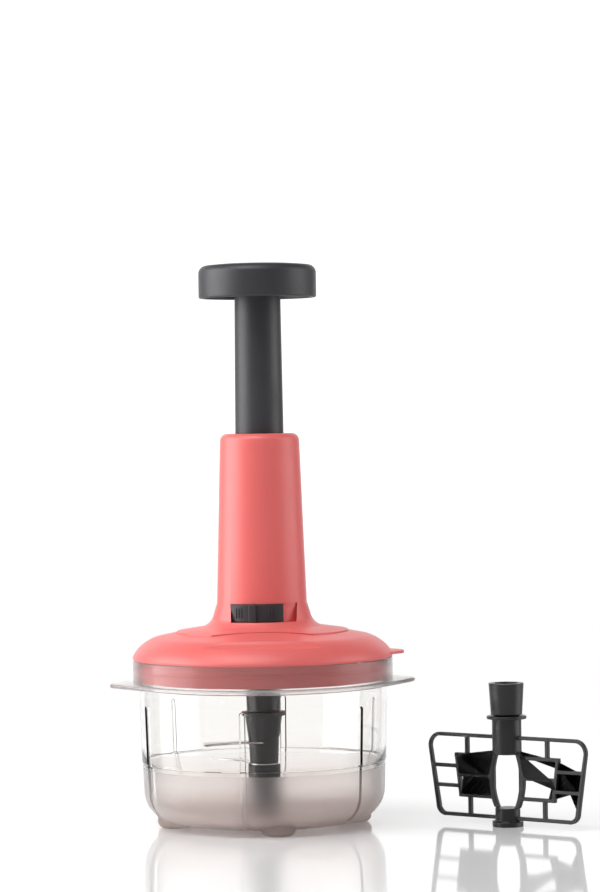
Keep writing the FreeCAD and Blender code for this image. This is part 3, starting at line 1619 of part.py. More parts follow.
# --------------------------------------------------------------- assembly
def build():
    fill_sheet()
    stack_sizes()
    make_bowl()
    make_bowl_feet()
    make_pivot_pin()
    make_lid_dome()
    make_lid_seal()
    make_lid_plate()
    make_lid_screws()
    make_tower_shell()
    make_guide_bush()
    make_plunger_tube()
    make_cross_pins()
    make_drive_nut()
    make_guide_collar()
    make_knob()
    make_spiral_shaft()
    make_shaft_cap()
    make_return_spring()
    make_bearing()
    make_clutch()
    make_output_spindle()
    make_blades()
    make_hub()
    make_lock()
    make_whisk_frame()
    make_whisk_socket()
    document.recompute()


def check_and_write():
    """Stop on any failed object or broken shape, then write one file for each sub-part."""
    failed = [item.Name for item in document.Objects if {"Invalid", "Error"} & set(item.State)]
    if failed:
        raise RuntimeError("failed objects: " + ", ".join(failed))
    for label, item in PIECES.items():
        shape = item.Shape
        if shape.isNull() or not shape.isValid() or not shape.Solids:
            raise RuntimeError("bad shape: " + label)
    os.makedirs("parts", exist_ok=True)
    for label, item in PIECES.items():
        item.Shape.exportStep(os.path.join("parts", label + ".step"))
        box = item.Shape.BoundBox
        print(f"{label}: {len(item.Shape.Solids)} solid(s), {item.Shape.Volume:.1f} mm3,"
              f" z {box.ZMin:.2f} to {box.ZMax:.2f}")


build()
check_and_write()
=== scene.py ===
"""Fine forms, finishes, light and camera of a push-down food chopper with its loose whisk.

Sizes in the classes are in millimetres, and MM turns them into the scene's metres. The chopper's
pieces are built about its own upright axis and then moved to where that axis stands.
"""

import json
import logging
import math
from abc import ABC, abstractmethod
from dataclasses import dataclass
from enum import Enum
from typing import Callable, Iterable, Optional, Sequence

import bmesh
import bpy
from mathutils import Matrix, Vector


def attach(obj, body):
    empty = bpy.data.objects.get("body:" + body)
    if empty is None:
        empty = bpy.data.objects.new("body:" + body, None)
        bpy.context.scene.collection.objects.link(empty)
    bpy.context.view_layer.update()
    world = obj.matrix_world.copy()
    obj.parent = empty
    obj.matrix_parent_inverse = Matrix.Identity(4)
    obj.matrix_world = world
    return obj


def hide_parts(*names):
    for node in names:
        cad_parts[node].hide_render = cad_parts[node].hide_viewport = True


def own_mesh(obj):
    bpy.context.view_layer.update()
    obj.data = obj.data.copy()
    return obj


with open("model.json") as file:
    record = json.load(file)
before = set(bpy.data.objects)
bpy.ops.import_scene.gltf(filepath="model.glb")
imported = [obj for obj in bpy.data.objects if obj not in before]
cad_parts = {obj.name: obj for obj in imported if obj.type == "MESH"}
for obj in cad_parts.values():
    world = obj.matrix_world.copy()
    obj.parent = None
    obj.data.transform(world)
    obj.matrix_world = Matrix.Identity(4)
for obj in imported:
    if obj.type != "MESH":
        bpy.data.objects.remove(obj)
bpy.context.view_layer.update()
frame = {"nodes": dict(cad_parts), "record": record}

MM = 0.001
CREASE = 38.0  # degrees over which an edge stays crisp
TINY = 1e-7  # metres within which two points are one
WELD = 2e-6  # the same, after a cut
SPECK = 1e-6  # metres under which an edge is dropped
Material, Piece, Socket = bpy.types.Material, bpy.types.Object, bpy.types.NodeSocket
log = logging.getLogger("chopper")


class Body(Enum):
    """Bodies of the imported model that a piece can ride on."""

    BOWL = "bowl"
    LID = "lid"
    PLUNGER = "plunger"
    BLADES = "blades"
    LOCK = "lock"
    WHISK = "whisk"


class Slot(Enum):
    """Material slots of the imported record."""

    BOWL_CLEAR = "bowl_clear"
    CORAL = "coral_plastic"
    DARK = "dark_plastic"
    BLACK = "black_plastic"
    WHITE = "white_plastic"
    STEEL = "steel"
    BRASS = "brass"
    SEAL = "seal_rubber"


# ---------------------------------------------------------------- finishes
class NodeSheet:
    """Nodes and links of one material, added one at a time.

    Args:
        name: Name of the new material.
    """

    def __init__(self, name: str) -> None:
        """Make the material and find its shader."""
        self.material = bpy.data.materials.new(name)
        self.material.use_nodes = True
        self.tree = self.material.node_tree
        self.shader = self.tree.nodes["Principled BSDF"]

    def add(self, kind: str, **settings: object) -> bpy.types.Node:
        """Add a node.

        Args:
            kind: Node type without its ShaderNode prefix.
            settings: Properties, or input values where the node has no such property. An
                underscore in an input's name stands for a space.

        Returns:
            The new node.
        """
        node = self.tree.nodes.new("ShaderNode" + kind)
        for key, value in settings.items():
            if hasattr(node, key):
                setattr(node, key, value)
            else:
                node.inputs[key.replace("_", " ")].default_value = value
        return node

    def link(self, source: Socket, target: Socket) -> None:
        """Link an output to an input."""
        self.tree.links.new(source, target)

    def set(self, **values: object) -> None:
        """Set constant inputs of the shader, with underscores for spaces."""
        for key, value in values.items():
            self.shader.inputs[key.replace("_", " ")].default_value = value

    def place(self) -> Socket:
        """Return the object coordinates."""
        return self.add("TexCoord").outputs["Object"]

    def noise(self, scale: float, detail: float = 3.0, roughness: float = 0.5) -> Socket:
        """Return a noise value over the object.

        Args:
            scale: Number of features in a metre.
            detail: Octaves of the noise.
            roughness: Share that each finer octave keeps.

        Returns:
            The noise's value output.
        """
        node = self.add("TexNoise", Scale=scale, Detail=detail, Roughness=roughness)
        self.link(self.place(), node.inputs["Vector"])
        return node.outputs["Fac"]

    def spread(self, value: Socket, low: float, high: float, to_low: float, to_high: float) -> Socket:
        """Map a value from one range to another.

        Args:
            value: Socket to read.
            low: Value that gives to_low.
            high: Value that gives to_high.
            to_low: Result at low.
            to_high: Result at high.

        Returns:
            The mapped value.
        """
        node = self.add("MapRange", interpolation_type="LINEAR")
        for name, number in (("From Min", low), ("From Max", high), ("To Min", to_low), ("To Max", to_high)):
            node.inputs[name].default_value = number
        self.link(value, node.inputs["Value"])
        return node.outputs["Result"]

    def ramp(self, value: Socket, stops: Sequence[tuple]) -> Socket:
        """Return a colour that follows stops along a value from 0 to 1.

        Args:
            value: Socket to read.
            stops: Pairs of a place from 0 to 1 and a linear colour, or a number for a grey.

        Returns:
            The colour output.
        """
        node = self.add("ValToRGB")
        elements = node.color_ramp.elements
        while len(elements) < len(stops):
            elements.new(1.0)
        for element, (place, colour) in zip(elements, stops):
            element.position = place
            element.color = (*colour, 1.0) if isinstance(colour, tuple) else (colour, colour, colour, 1.0)
        self.link(value, node.inputs["Fac"])
        return node.outputs["Color"]

    def blend(self, share: Socket, first: tuple, second: tuple) -> Socket:
        """Return a colour that goes from the first to the second as the share goes from 0 to 1."""
        return self.ramp(share, [(0.0, first), (1.0, second)])

    def bump(self, height: Socket, strength: float, depth: float) -> bpy.types.Node:
        """Give the shader a bumped normal.

        Args:
            height: Height pattern.
            strength: Share of the full bump.
            depth: Height of the pattern in metres.

        Returns:
            The bump node.
        """
        node = self.add("Bump", Strength=strength, Distance=depth)
        self.link(height, node.inputs["Height"])
        self.link(node.outputs["Normal"], self.shader.inputs["Normal"])
        return node


class Finish(ABC):
    """A finish that makes its material once and hands it out to every piece."""

    _made: dict = {}

    @abstractmethod
    def build(self) -> Material:
        """Make the material."""

    def material(self) -> Material:
        """Return the material of this finish, made on first use."""
        if self not in Finish._made:
            Finish._made[self] = self.build()
        return Finish._made[self]


@dataclass(frozen=True)
class MouldedPlastic(Finish):
    """Opaque moulded plastic with a fine grain and a little change of tone.

    Args:
        name: Name of the material.
        colour: Main colour, linear.
        shade: Second colour that drifts through the first, linear.
        gloss: Lowest and highest roughness.
        grain: Features of the grain in a metre.
        grain_depth: Height of the grain in metres.
        glow: Share of light that passes a little way into the plastic.
        glow_reach: How far that light goes, in metres.
        drift: Features of the change of tone in a metre.
        wear: Features of the change of gloss in a metre.
    """

    name: str
    colour: tuple
    shade: tuple
    gloss: tuple = (0.3, 0.38)
    grain: float = 2600.0
    grain_depth: float = 0.00002
    glow: float = 0.0
    glow_reach: float = 0.002
    drift: float = 18.0
    wear: float = 70.0

    def build(self) -> Material:
        """Make the material."""
        sheet = NodeSheet(self.name)
        drift = sheet.spread(sheet.noise(self.drift, 2.0), 0.3, 0.7, 0.0, 1.0)
        sheet.link(sheet.blend(drift, self.colour, self.shade), sheet.shader.inputs["Base Color"])
        rough = sheet.spread(sheet.noise(self.wear, 4.0, 0.6), 0.3, 0.7, *self.gloss)
        sheet.link(rough, sheet.shader.inputs["Roughness"])
        sheet.bump(sheet.noise(self.grain, 2.0), 0.35, self.grain_depth)
        sheet.set(IOR=1.5)
        if self.glow:
            sheet.set(Subsurface_Weight=self.glow, Subsurface_Scale=self.glow_reach)
        return sheet.material


@dataclass(frozen=True)
class ClearPlastic(Finish):
    """Clear bowl plastic: frosted at the base, where its colour darkens towards the bottom with painted
    shade of the contact shadow and with the brown of the thicker plastic, and satin at the flange and rim.

    Args:
        name: Name of the material.
        span: Height in millimetres that the ramps cover.
        frost_top: Height where the frost ends.
        satin_low: Height where the satin begins.
        edge: Height over which one zone turns into the next.
        rough: Roughness of frost and satin.
        polish: Roughness of the clear wall between them.
        tints: Colours of frost and satin.
        clear: Colour of the clear wall.
        base_tint_and_painted_shade: Heights and colours lower in the frost, darker towards the bottom:
            painted shade of the contact shadow, partly the brown of the thicker plastic there.
        passing: Share of light that passes through frost and satin.
        base_passing: Heights and shares lower in the frost.
        rim_passing: Heights over the satin's lower edge, and shares.
        grain: Strength of the grain of frost and satin.
    """

    name: str = "bowl clear plastic"
    span: float = 90.0
    frost_top: float = 30.5
    satin_low: float = 70.2
    edge: float = 0.3
    rough: tuple = (0.28, 0.20)
    polish: float = 0.015
    tints: tuple = ((1.0, 0.973, 0.958), (1.0, 0.955, 0.945))
    clear: tuple = (0.977, 0.967, 0.954)
    # darker towards the bottom: painted shade of the contact shadow at the floor, partly the brown of the
    # thicker plastic there
    base_tint_and_painted_shade: tuple = ((3, (0.97, 0.84, 0.79)), (9, (0.99, 0.90, 0.862)), (19, (1.0, 0.96, 0.942)))
    passing: tuple = (0.97, 0.80)
    base_passing: tuple = ((7, 0.82), (14, 0.95))
    rim_passing: tuple = ((2.2, 0.80), (2.6, 0.95))
    grain: tuple = (0.12, 0.05)

    def zones(self, ends: tuple, middle: object) -> list:
        """Return the stops of frost, clear wall and satin.

        Args:
            ends: Values of frost and satin.
            middle: Value of the clear wall.

        Returns:
            Pairs of a place from 0 to 1 and a value.
        """
        edge, top, low = (height / self.span for height in (self.edge, self.frost_top, self.satin_low))
        return [(top - edge, ends[0]), (top, middle), (low - edge, middle), (low, ends[1])]

    def build(self) -> Material:
        """Make the material."""
        sheet = NodeSheet(self.name)
        split = sheet.add("SeparateXYZ")
        sheet.link(sheet.place(), split.inputs["Vector"])
        height = sheet.spread(split.outputs["Z"], 0.0, self.span * MM, 0.0, 1.0)
        # the low frost stops darken towards the bottom with painted shade, partly the thicker plastic's
        # brown
        tint = [(up / self.span, colour) for up, colour in self.base_tint_and_painted_shade]
        tint += self.zones(self.tints, self.clear)
        passing = [(up / self.span, share) for up, share in self.base_passing]
        passing += self.zones(self.passing, 1.0)
        passing += [(self.satin_low / self.span + up / self.span, share) for up, share in self.rim_passing]
        sheet.link(sheet.ramp(height, tint), sheet.shader.inputs["Base Color"])
        sheet.link(sheet.ramp(height, self.zones(self.rough, self.polish)), sheet.shader.inputs["Roughness"])
        sheet.link(sheet.ramp(height, passing), sheet.shader.inputs["Transmission Weight"])
        bump = sheet.bump(sheet.noise(1500.0, 2.0), 0.0, 0.00001)
        sheet.link(sheet.ramp(height, self.zones(self.grain, 0.0)), bump.inputs["Strength"])
        sheet.set(IOR=1.5, Specular_Tint=(0.35, 0.35, 0.35, 1.0))
        return sheet.material


@dataclass(frozen=True)
class BrushedMetal(Finish):
    """Bare metal with fine marks along one direction.

    Args:
        name: Name of the material.
        colour: Colour of the metal, linear.
        rough: Lowest and highest roughness.
        stretch: Scale of the marks along X, Y and Z.
        shade: Share of the colour that the darkest marks keep.
    """

    name: str
    colour: tuple
    rough: tuple = (0.18, 0.32)
    stretch: tuple = (300.0, 4000.0, 4000.0)
    shade: float = 0.86

    def build(self) -> Material:
        """Make the material."""
        sheet = NodeSheet(self.name)
        spot = sheet.add("Mapping")
        spot.inputs["Scale"].default_value = self.stretch
        sheet.link(sheet.place(), spot.inputs["Vector"])
        marks = sheet.add("TexNoise", Scale=1.0, Detail=4.0, Roughness=0.65)
        sheet.link(spot.outputs["Vector"], marks.inputs["Vector"])
        streak = marks.outputs["Fac"]
        sheet.link(sheet.spread(streak, 0.3, 0.7, *self.rough), sheet.shader.inputs["Roughness"])
        dark = tuple(self.shade * part for part in self.colour)
        sheet.link(sheet.blend(streak, dark, self.colour), sheet.shader.inputs["Base Color"])
        sheet.bump(streak, 0.2, 0.00001)
        sheet.set(Metallic=1.0)
        return sheet.material


@dataclass(frozen=True)
class FloorFinish(Finish):
    """White polished light table that mirrors what stands on it faintly.

    Args:
        glow: Brightness of the table itself.
        tone: Grey of its surface, linear.
        rough: Lowest and highest roughness.
    """

    glow: float = 0.10
    tone: float = 0.75
    rough: tuple = (0.05, 0.08)

    def build(self) -> Material:
        """Make the material."""
        sheet = NodeSheet("white table")
        sheet.link(sheet.spread(sheet.noise(6.0), 0.3, 0.7, *self.rough), sheet.shader.inputs["Roughness"])
        sheet.set(Base_Color=(self.tone, self.tone, self.tone, 1.0), IOR=1.42,
                  Emission_Color=(1.0, 1.0, 1.0, 1.0), Emission_Strength=self.glow)
        return sheet.material


@dataclass(frozen=True)
class Glow(Finish):
    """Even light surface of the backdrop.

    Args:
        name: Name of the material.
        strength: Brightness.
    """

    name: str
    strength: float

    def build(self) -> Material:
        """Make the material."""
        sheet = NodeSheet(self.name)
        sheet.set(Base_Color=(0.0, 0.0, 0.0, 1.0), Emission_Color=(1.0, 1.0, 1.0, 1.0),
                  Emission_Strength=self.strength, Specular_IOR_Level=0.0)
        return sheet.material


FINISHES = {
    Slot.BOWL_CLEAR: ClearPlastic(),
    Slot.CORAL: MouldedPlastic("coral plastic", (0.80, 0.155, 0.147), (0.77, 0.148, 0.140),
                               gloss=(0.36, 0.43), grain=1800.0, grain_depth=0.00001, glow=0.1),
    Slot.DARK: MouldedPlastic("dark grey plastic", (0.036, 0.036, 0.040), (0.030, 0.030, 0.034),
                              gloss=(0.42, 0.50), grain=2400.0, grain_depth=0.00002),
    Slot.BLACK: MouldedPlastic("black plastic", (0.018, 0.018, 0.020), (0.013, 0.013, 0.015),
                               gloss=(0.32, 0.40), grain_depth=0.00001),
    Slot.WHITE: MouldedPlastic("white slide plastic", (0.78, 0.78, 0.75), (0.72, 0.72, 0.69),
                               gloss=(0.38, 0.46)),
    Slot.STEEL: BrushedMetal("steel", (0.62, 0.62, 0.63)),
    Slot.BRASS: BrushedMetal("brass", (0.72, 0.50, 0.22)),
    Slot.SEAL: MouldedPlastic("soft coral seal", (0.78, 0.13, 0.12), (0.72, 0.115, 0.105),
                              gloss=(0.5, 0.6)),
}


# ---------------------------------------------------------------- forms
@dataclass(frozen=True)
class Corner:
    """One corner of an outline.

    Args:
        across: Distance from the axis.
        up: Height.
        rounding: Radius that softens the corner.
        steps: Number of edges in the rounding.
    """

    across: float
    up: float
    rounding: float = 0.0
    steps: int = 4


def block(inner: float, outer: float, low: float, high: float) -> list:
    """Return the corners of an oblong section."""
    return [Corner(inner, low), Corner(outer, low), Corner(outer, high), Corner(inner, high)]


class Form:
    """A mesh in the making, which starts from an outline and takes its place at the end."""

    def __init__(self) -> None:
        """Start with an empty mesh."""
        self.mesh = bmesh.new()

    def round_off(self, geom: list, offset: float, steps: int, kind: str, clamp: bool) -> None:
        """Round points or edges.

        Args:
            geom: Points or edges.
            offset: Reach of the rounding in millimetres.
            steps: Pieces across it.
            kind: VERTICES or EDGES.
            clamp: Whether roundings stop where they meet.
        """
        bmesh.ops.bevel(self.mesh, geom=geom, offset=offset * MM, offset_type="OFFSET", segments=steps,
                        profile=0.5, affect=kind, material=-1, clamp_overlap=clamp)

    def draw(self, corners: Sequence[Corner]) -> bmesh.types.BMFace:
        """Draw a closed outline in the XZ plane and round its corners.

        Args:
            corners: Corners in order.

        Returns:
            The face that the outline bounds.
        """
        points = [self.mesh.verts.new((c.across * MM, 0, c.up * MM)) for c in corners]
        self.mesh.faces.new(points)
        count = len(corners)
        for number, corner in enumerate(corners):
            if not corner.rounding:
                continue
            before, after = corners[number - 1], corners[(number + 1) % count]
            first = Vector((before.across - corner.across, before.up - corner.up))
            second = Vector((after.across - corner.across, after.up - corner.up))
            reach = corner.rounding / math.tan(first.angle(second) / 2)
            self.round_off([points[number]], reach, corner.steps, "VERTICES", False)
        self.mesh.faces.ensure_lookup_table()
        return self.mesh.faces[0]

    def turned(self, corners: Sequence[Corner], steps: int,
               limit: Optional[Callable[[Vector], float]] = None) -> "Form":
        """Turn an outline round the upright axis.

        Args:
            corners: Corners of the section, in order.
            steps: Number of steps in the full turn.
            limit: Longest edge in metres that the section may have at a point.

        Returns:
            This form.
        """
        face = self.draw(corners)
        bmesh.ops.delete(self.mesh, geom=[face], context="FACES_ONLY")
        on_axis = [e for e in self.mesh.edges if all(abs(v.co.x) < TINY for v in e.verts)]
        bmesh.ops.delete(self.mesh, geom=on_axis, context="EDGES")
        if limit:
            for edge in list(self.mesh.edges):
                middle = (edge.verts[0].co + edge.verts[1].co) / 2
                cuts = math.ceil(edge.calc_length() / limit(middle)) - 1
                if cuts > 0:
                    bmesh.ops.subdivide_edges(self.mesh, edges=[edge], cuts=cuts)
        bmesh.ops.spin(self.mesh, geom=self.mesh.verts[:] + self.mesh.edges[:], cent=(0, 0, 0),
                       axis=(0, 0, 1), angle=math.tau, steps=steps, use_merge=True)
        return self.clean()

    def clean(self) -> "Form":
        """Merge doubled points and turn all faces outwards."""
        bmesh.ops.remove_doubles(self.mesh, verts=self.mesh.verts, dist=TINY)
        bmesh.ops.recalc_face_normals(self.mesh, faces=self.mesh.faces)
        return self

    def sector(self, corners: Sequence[Corner], start: float, end: float, steps: int) -> "Form":
        """Turn an outline through part of a circle and close its ends.

        Args:
            corners: Corners of the section, in order.
            start: First angle in degrees, from the front towards the right.
            end: Last angle in degrees.
            steps: Number of steps.

        Returns:
            This form.
        """
        face = self.draw(corners)
        bmesh.ops.rotate(self.mesh, verts=self.mesh.verts, cent=(0, 0, 0),
                         matrix=Matrix.Rotation(math.radians(start - 90), 3, "Z"))
        bmesh.ops.spin(self.mesh, geom=[face], cent=(0, 0, 0), axis=(0, 0, 1),
                       angle=math.radians(end - start), steps=steps)
        return self.clean()

    def trim(self, across: float, forward: float, bearing: float) -> "Form":
        """Cut away all that stands beyond an upright plane, and close the cut.

        Args:
            across: Distance of a point of the plane to the right, in millimetres.
            forward: Distance of that point to the front.
            bearing: Direction of the side that goes, in degrees from the front towards the right.

        Returns:
            This form.
        """
        turn = math.radians(bearing)
        geom = self.mesh.verts[:] + self.mesh.edges[:] + self.mesh.faces[:]
        bmesh.ops.bisect_plane(self.mesh, geom=geom, dist=TINY, plane_co=(across * MM, -forward * MM, 0),
                               plane_no=(math.sin(turn), -math.cos(turn), 0), clear_outer=True)
        bmesh.ops.holes_fill(self.mesh, edges=[e for e in self.mesh.edges if e.is_boundary])
        return self.clean()

    def move(self, matrix: Matrix) -> "Form":
        """Move all points by a matrix."""
        bmesh.ops.transform(self.mesh, matrix=matrix, verts=self.mesh.verts)
        return self

    def join(self, other: "Form") -> "Form":
        """Add another form's mesh to this one."""
        spare = bpy.data.meshes.new("join")
        other.mesh.to_mesh(spare)
        other.mesh.free()
        self.mesh.from_mesh(spare)
        bpy.data.meshes.remove(spare)
        return self

    def to_object(self, name: str) -> Piece:
        """Turn the form into an object with smooth faces and crisp edges."""
        data = bpy.data.meshes.new(name)
        self.mesh.to_mesh(data)
        self.mesh.free()
        data.shade_smooth()
        data.set_sharp_from_angle(angle=math.radians(CREASE))
        piece = bpy.data.objects.new(name, data)
        bpy.context.scene.collection.objects.link(piece)
        return piece


def carve(piece: Piece, *tools: Piece) -> Piece:
    """Cut tools out of a piece and remove them.

    Args:
        piece: Object to cut.
        tools: Closed objects to take away.

    Returns:
        The piece, with the cuts in its mesh.
    """
    for tool in tools:
        cutter = piece.modifiers.new("carve", "BOOLEAN")
        cutter.operation, cutter.solver, cutter.object = "DIFFERENCE", "EXACT", tool
    settle(piece)
    for tool in tools:
        bpy.data.objects.remove(tool)
    joined = bmesh.new()
    joined.from_mesh(piece.data)
    bmesh.ops.remove_doubles(joined, verts=joined.verts, dist=WELD)
    bmesh.ops.dissolve_degenerate(joined, edges=joined.edges, dist=SPECK)
    joined.to_mesh(piece.data)
    joined.free()
    return piece


def settle(piece: Piece, crease: Optional[float] = CREASE) -> Piece:
    """Apply the piece's modifiers to its mesh.

    Args:
        piece: Object with modifiers.
        crease: Angle in degrees over which an edge stays sharp, or None to keep the normals.

    Returns:
        The piece.
    """
    graph = bpy.context.evaluated_depsgraph_get()
    mesh = bpy.data.meshes.new_from_object(piece.evaluated_get(graph))
    piece.modifiers.clear()
    piece.data = mesh
    if crease is not None:
        mesh.shade_smooth()
        mesh.set_sharp_from_angle(angle=math.radians(crease))
    return piece


def soften(piece: Piece, width: float, steps: int = 3, crease: float = 40.0) -> Piece:
    """Round the sharp edges of a piece.

    Args:
        piece: Object to finish.
        width: Width of the rounding in millimetres.
        steps: Faces across the rounding.
        crease: Angle in degrees over which an edge is rounded.

    Returns:
        The piece.
    """
    bevel = piece.modifiers.new("soft edges", "BEVEL")
    bevel.width, bevel.segments, bevel.profile = width * MM, steps, 0.5
    bevel.limit_method, bevel.angle_limit = "ANGLE", math.radians(crease)
    bevel.use_clamp_overlap = False
    bevel.miter_outer = "MITER_ARC"
    even = piece.modifiers.new("even faces", "WEIGHTED_NORMAL")
    even.keep_sharp = True
    piece.data.shade_smooth()
    return settle(piece, crease=None)


def hand_over(piece: Piece, slot: Slot, body: Body, nodes: Iterable[str]) -> Piece:
    """Give a piece its finish and body and hide the nodes that it replaces.

    Args:
        piece: Finished object.
        slot: Material slot.
        body: Body that it moves with.
        nodes: Names of the nodes that it replaces.

    Returns:
        The piece.
    """
    piece.data.materials.clear()
    piece.data.materials.append(FINISHES[slot].material())
    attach(piece, body.value)
    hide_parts(*nodes)
    log.info("%s: %d faces, %s", piece.name, len(piece.data.polygons), slot.value)
    return piece


AXIS = Matrix.Translation((-40.72 * MM, 0, 0))


# ---------------------------------------------------------------- bowl
@dataclass
class Bowl:
    """Clear bowl with a frosted base, two ears, six grooves and four feet.

    Args:
        turn: Degrees that the bowl is turned on its axis.
        steps: Steps of the full turn.
        crowd: How much closer than even the steps stand at the grooves, from 0 to 1.
        pin: Radius of the hole for the hub's pin.
        groove_ends: Heights between which the wall needs short edges.
        groove_slope: Width of the groove's flanks.
        groove_start: Distance from the axis where the grooves begin under the bowl.
    """

    turn: float = 5.3
    steps: int = 480
    crowd: float = 0.8
    underside: float = 2.6
    corner: float = 16.0
    wall_low: float = 60.9
    step_height: float = 32.5
    step_width: float = 0.4
    wall_high: float = 62.4
    floor: float = 3.0
    boss: float = 7.5
    boss_top: float = 9.0
    pin: float = 3.05
    pin_seat: float = 4.1
    flange: float = 65.99
    flange_low: float = 70.3
    flange_high: float = 72.3
    rim: float = 65.1
    rim_top: float = 84.0
    rim_wall: float = 2.2
    ear_reach: float = 76.8
    ear_round: float = 8.0
    ear_spread: float = 32.5
    foot_circle: float = 45.5
    foot_radius: float = 8.6
    foot_round: float = 3.4
    foot_low: float = 0.02
    foot_tall: float = 10.6
    foot_gap: float = 0.06
    feet_turn: float = 8.2
    groove_first: float = 15.0
    groove_half: float = 1.6
    groove_depth: float = 1.1
    groove_top: float = 62.0
    groove_ends: tuple = (59.6, 62.6)
    groove_slope: float = 0.55
    groove_start: float = 44

    def outside(self, height: float) -> float:
        """Return the outer wall's radius at a height over the step."""
        low = self.step_height + self.step_width
        lean = self.wall_high - self.wall_low - self.step_width
        return self.wall_low + self.step_width + lean * (height - low) / (self.flange_low - low)

    def section(self) -> list:
        """Return the corners of the wall's section."""
        side = self.wall_low - 1.1
        return [
            Corner(0, self.underside),
            Corner(side, self.underside, self.corner, 26),
            Corner(self.wall_low, self.step_height),
            Corner(self.wall_low + self.step_width, self.step_height + self.step_width),
            *(Corner(self.outside(height), height) for height in self.groove_ends),
            Corner(self.wall_high, self.flange_low, 0.5, 3),
            Corner(self.flange, self.flange_low, 0.6, 4),
            Corner(self.flange, self.flange_high, 0.6, 4),
            Corner(self.rim, self.flange_high, 0.4, 3),
            Corner(self.rim, self.rim_top, 0.7, 4),
            Corner(self.rim - self.rim_wall, self.rim_top, 0.7, 4),
            Corner(self.rim - self.rim_wall, self.flange_high, 0.5, 3),
            Corner(self.wall_high - 2.0, self.flange_high - 1.0, 0.5, 3),
            Corner(self.wall_low - 1.6, self.step_height, 0.4, 3),
            Corner(self.wall_low - 2.8, self.step_height, 0.5, 3),
            Corner(side - 2.8, self.underside + self.floor, self.corner - self.floor, 14),
            Corner(self.boss + 1.5, self.underside + self.floor, 1.0, 3),
            Corner(self.boss, self.boss_top, 0.6, 3),
            Corner(self.pin, self.boss_top),
            Corner(self.pin, self.pin_seat),
            Corner(0, self.pin_seat),
        ]

    def limit(self, spot: Vector) -> float:
        """Return the longest section edge at a point, short where the grooves end."""
        outer = spot.x > (self.wall_low - 1.0) * MM
        low, high = self.groove_ends
        return 0.3 * MM if outer and low * MM < spot.z < high * MM else 9 * MM

    def ear(self, angle: float) -> float:
        """Return the flange's reach at an angle from the ear's middle, in millimetres."""
        spread = math.radians(self.ear_spread)
        centre = self.ear_reach - self.ear_round
        if abs(angle) >= spread:
            return self.flange
        tip = math.atan2(self.ear_round * math.sin(spread), centre + self.ear_round * math.cos(spread))
        if abs(angle) > tip:
            return self.flange / math.cos(abs(angle) - spread)
        off = centre * math.sin(angle)
        return centre * math.cos(angle) + math.sqrt(self.ear_round ** 2 - off ** 2)

    def crowd_steps(self, form: Form) -> None:
        """Move the steps of the turn closer together at the grooves."""
        first = math.radians(self.groove_first)
        for vert in form.mesh.verts:
            flat = vert.co.xy.length
            if flat > TINY:
                angle = math.atan2(vert.co.y, vert.co.x) - first
                angle += first - self.crowd * math.sin(6 * angle) / 6
                vert.co.xy = (flat * math.cos(angle), flat * math.sin(angle))

    def shape_ears(self, form: Form) -> None:
        """Draw the flange out into two ears."""
        for vert in form.mesh.verts:
            radius = vert.co.xy.length / MM
            if radius < self.flange - 0.75 or vert.co.z < (self.flange_low - 0.1) * MM:
                continue
            angle = math.atan2(vert.co.y, abs(vert.co.x))
            vert.co.xy *= (radius + self.ear(angle) - self.flange) / radius

    def shape_grooves(self, form: Form) -> None:
        """Press the upright grooves into the outside of the wall."""
        form.mesh.normal_update()
        moves = []
        straight = self.groove_top - self.groove_half
        for vert in form.mesh.verts:
            flat = vert.co.xy.length / MM
            height = vert.co.z / MM
            above = height > self.groove_top + 1
            if flat < self.groove_start or above or vert.normal.xy.dot(vert.co.xy) <= 0:
                continue
            angle = math.degrees(math.atan2(vert.co.y, vert.co.x)) - self.groove_first
            aside = math.radians((angle + 30) % 60 - 30) * flat
            gap = math.hypot(aside, max(0.0, height - straight))
            share = min(1.0, max(0.0, (self.groove_half - gap) / self.groove_slope))
            if share > 0:
                fade = min(1.0, (flat - self.groove_start) / 5)
                moves.append((vert, vert.normal.copy(), share * share * (3 - 2 * share) * fade))
        for vert, normal, share in moves:
            vert.co -= normal * share * self.groove_depth * MM

    def place(self, turn: float) -> Matrix:
        """Return the place of a form that is turned by some degrees on the bowl's axis."""
        return AXIS @ Matrix.Rotation(math.radians(turn), 4, "Z")

    def build(self) -> Piece:
        """Build the bowl."""
        form = Form().turned(self.section(), self.steps, self.limit)
        self.crowd_steps(form)
        self.shape_ears(form)
        self.shape_grooves(form)
        form.move(self.place(self.turn))
        return hand_over(form.to_object("bowl_fine"), Slot.BOWL_CLEAR, Body.BOWL, ["bowl"])

    def build_feet(self) -> Piece:
        """Build the four feet, whose tops follow the bowl's bottom corner."""
        corner = self.corner + self.foot_gap
        low, side = self.underside - self.foot_gap, self.wall_low - 1.1 + self.foot_gap
        feet = Form()
        for quarter in range(4):
            foot = Form().turned([
                Corner(0, self.foot_low),
                Corner(self.foot_radius, self.foot_low, self.foot_round, 10),
                Corner(self.foot_radius, self.foot_tall),
                Corner(0, self.foot_tall),
            ], 72)
            angle = math.radians(90 * quarter)
            foot.move(Matrix.Translation((self.foot_circle * MM * math.cos(angle),
                                          self.foot_circle * MM * math.sin(angle), 0)))
            feet.join(foot)
        seat = Form().turned([
            Corner(0, low),
            Corner(side, low, corner, 26),
            Corner(side, 20),
            Corner(0, 20),
        ], 288)
        piece = feet.move(self.place(self.feet_turn)).to_object("feet_fine")
        carve(piece, seat.move(AXIS).to_object("feet_seat"))
        return hand_over(piece, Slot.BOWL_CLEAR, Body.BOWL, ["bowl_feet"])


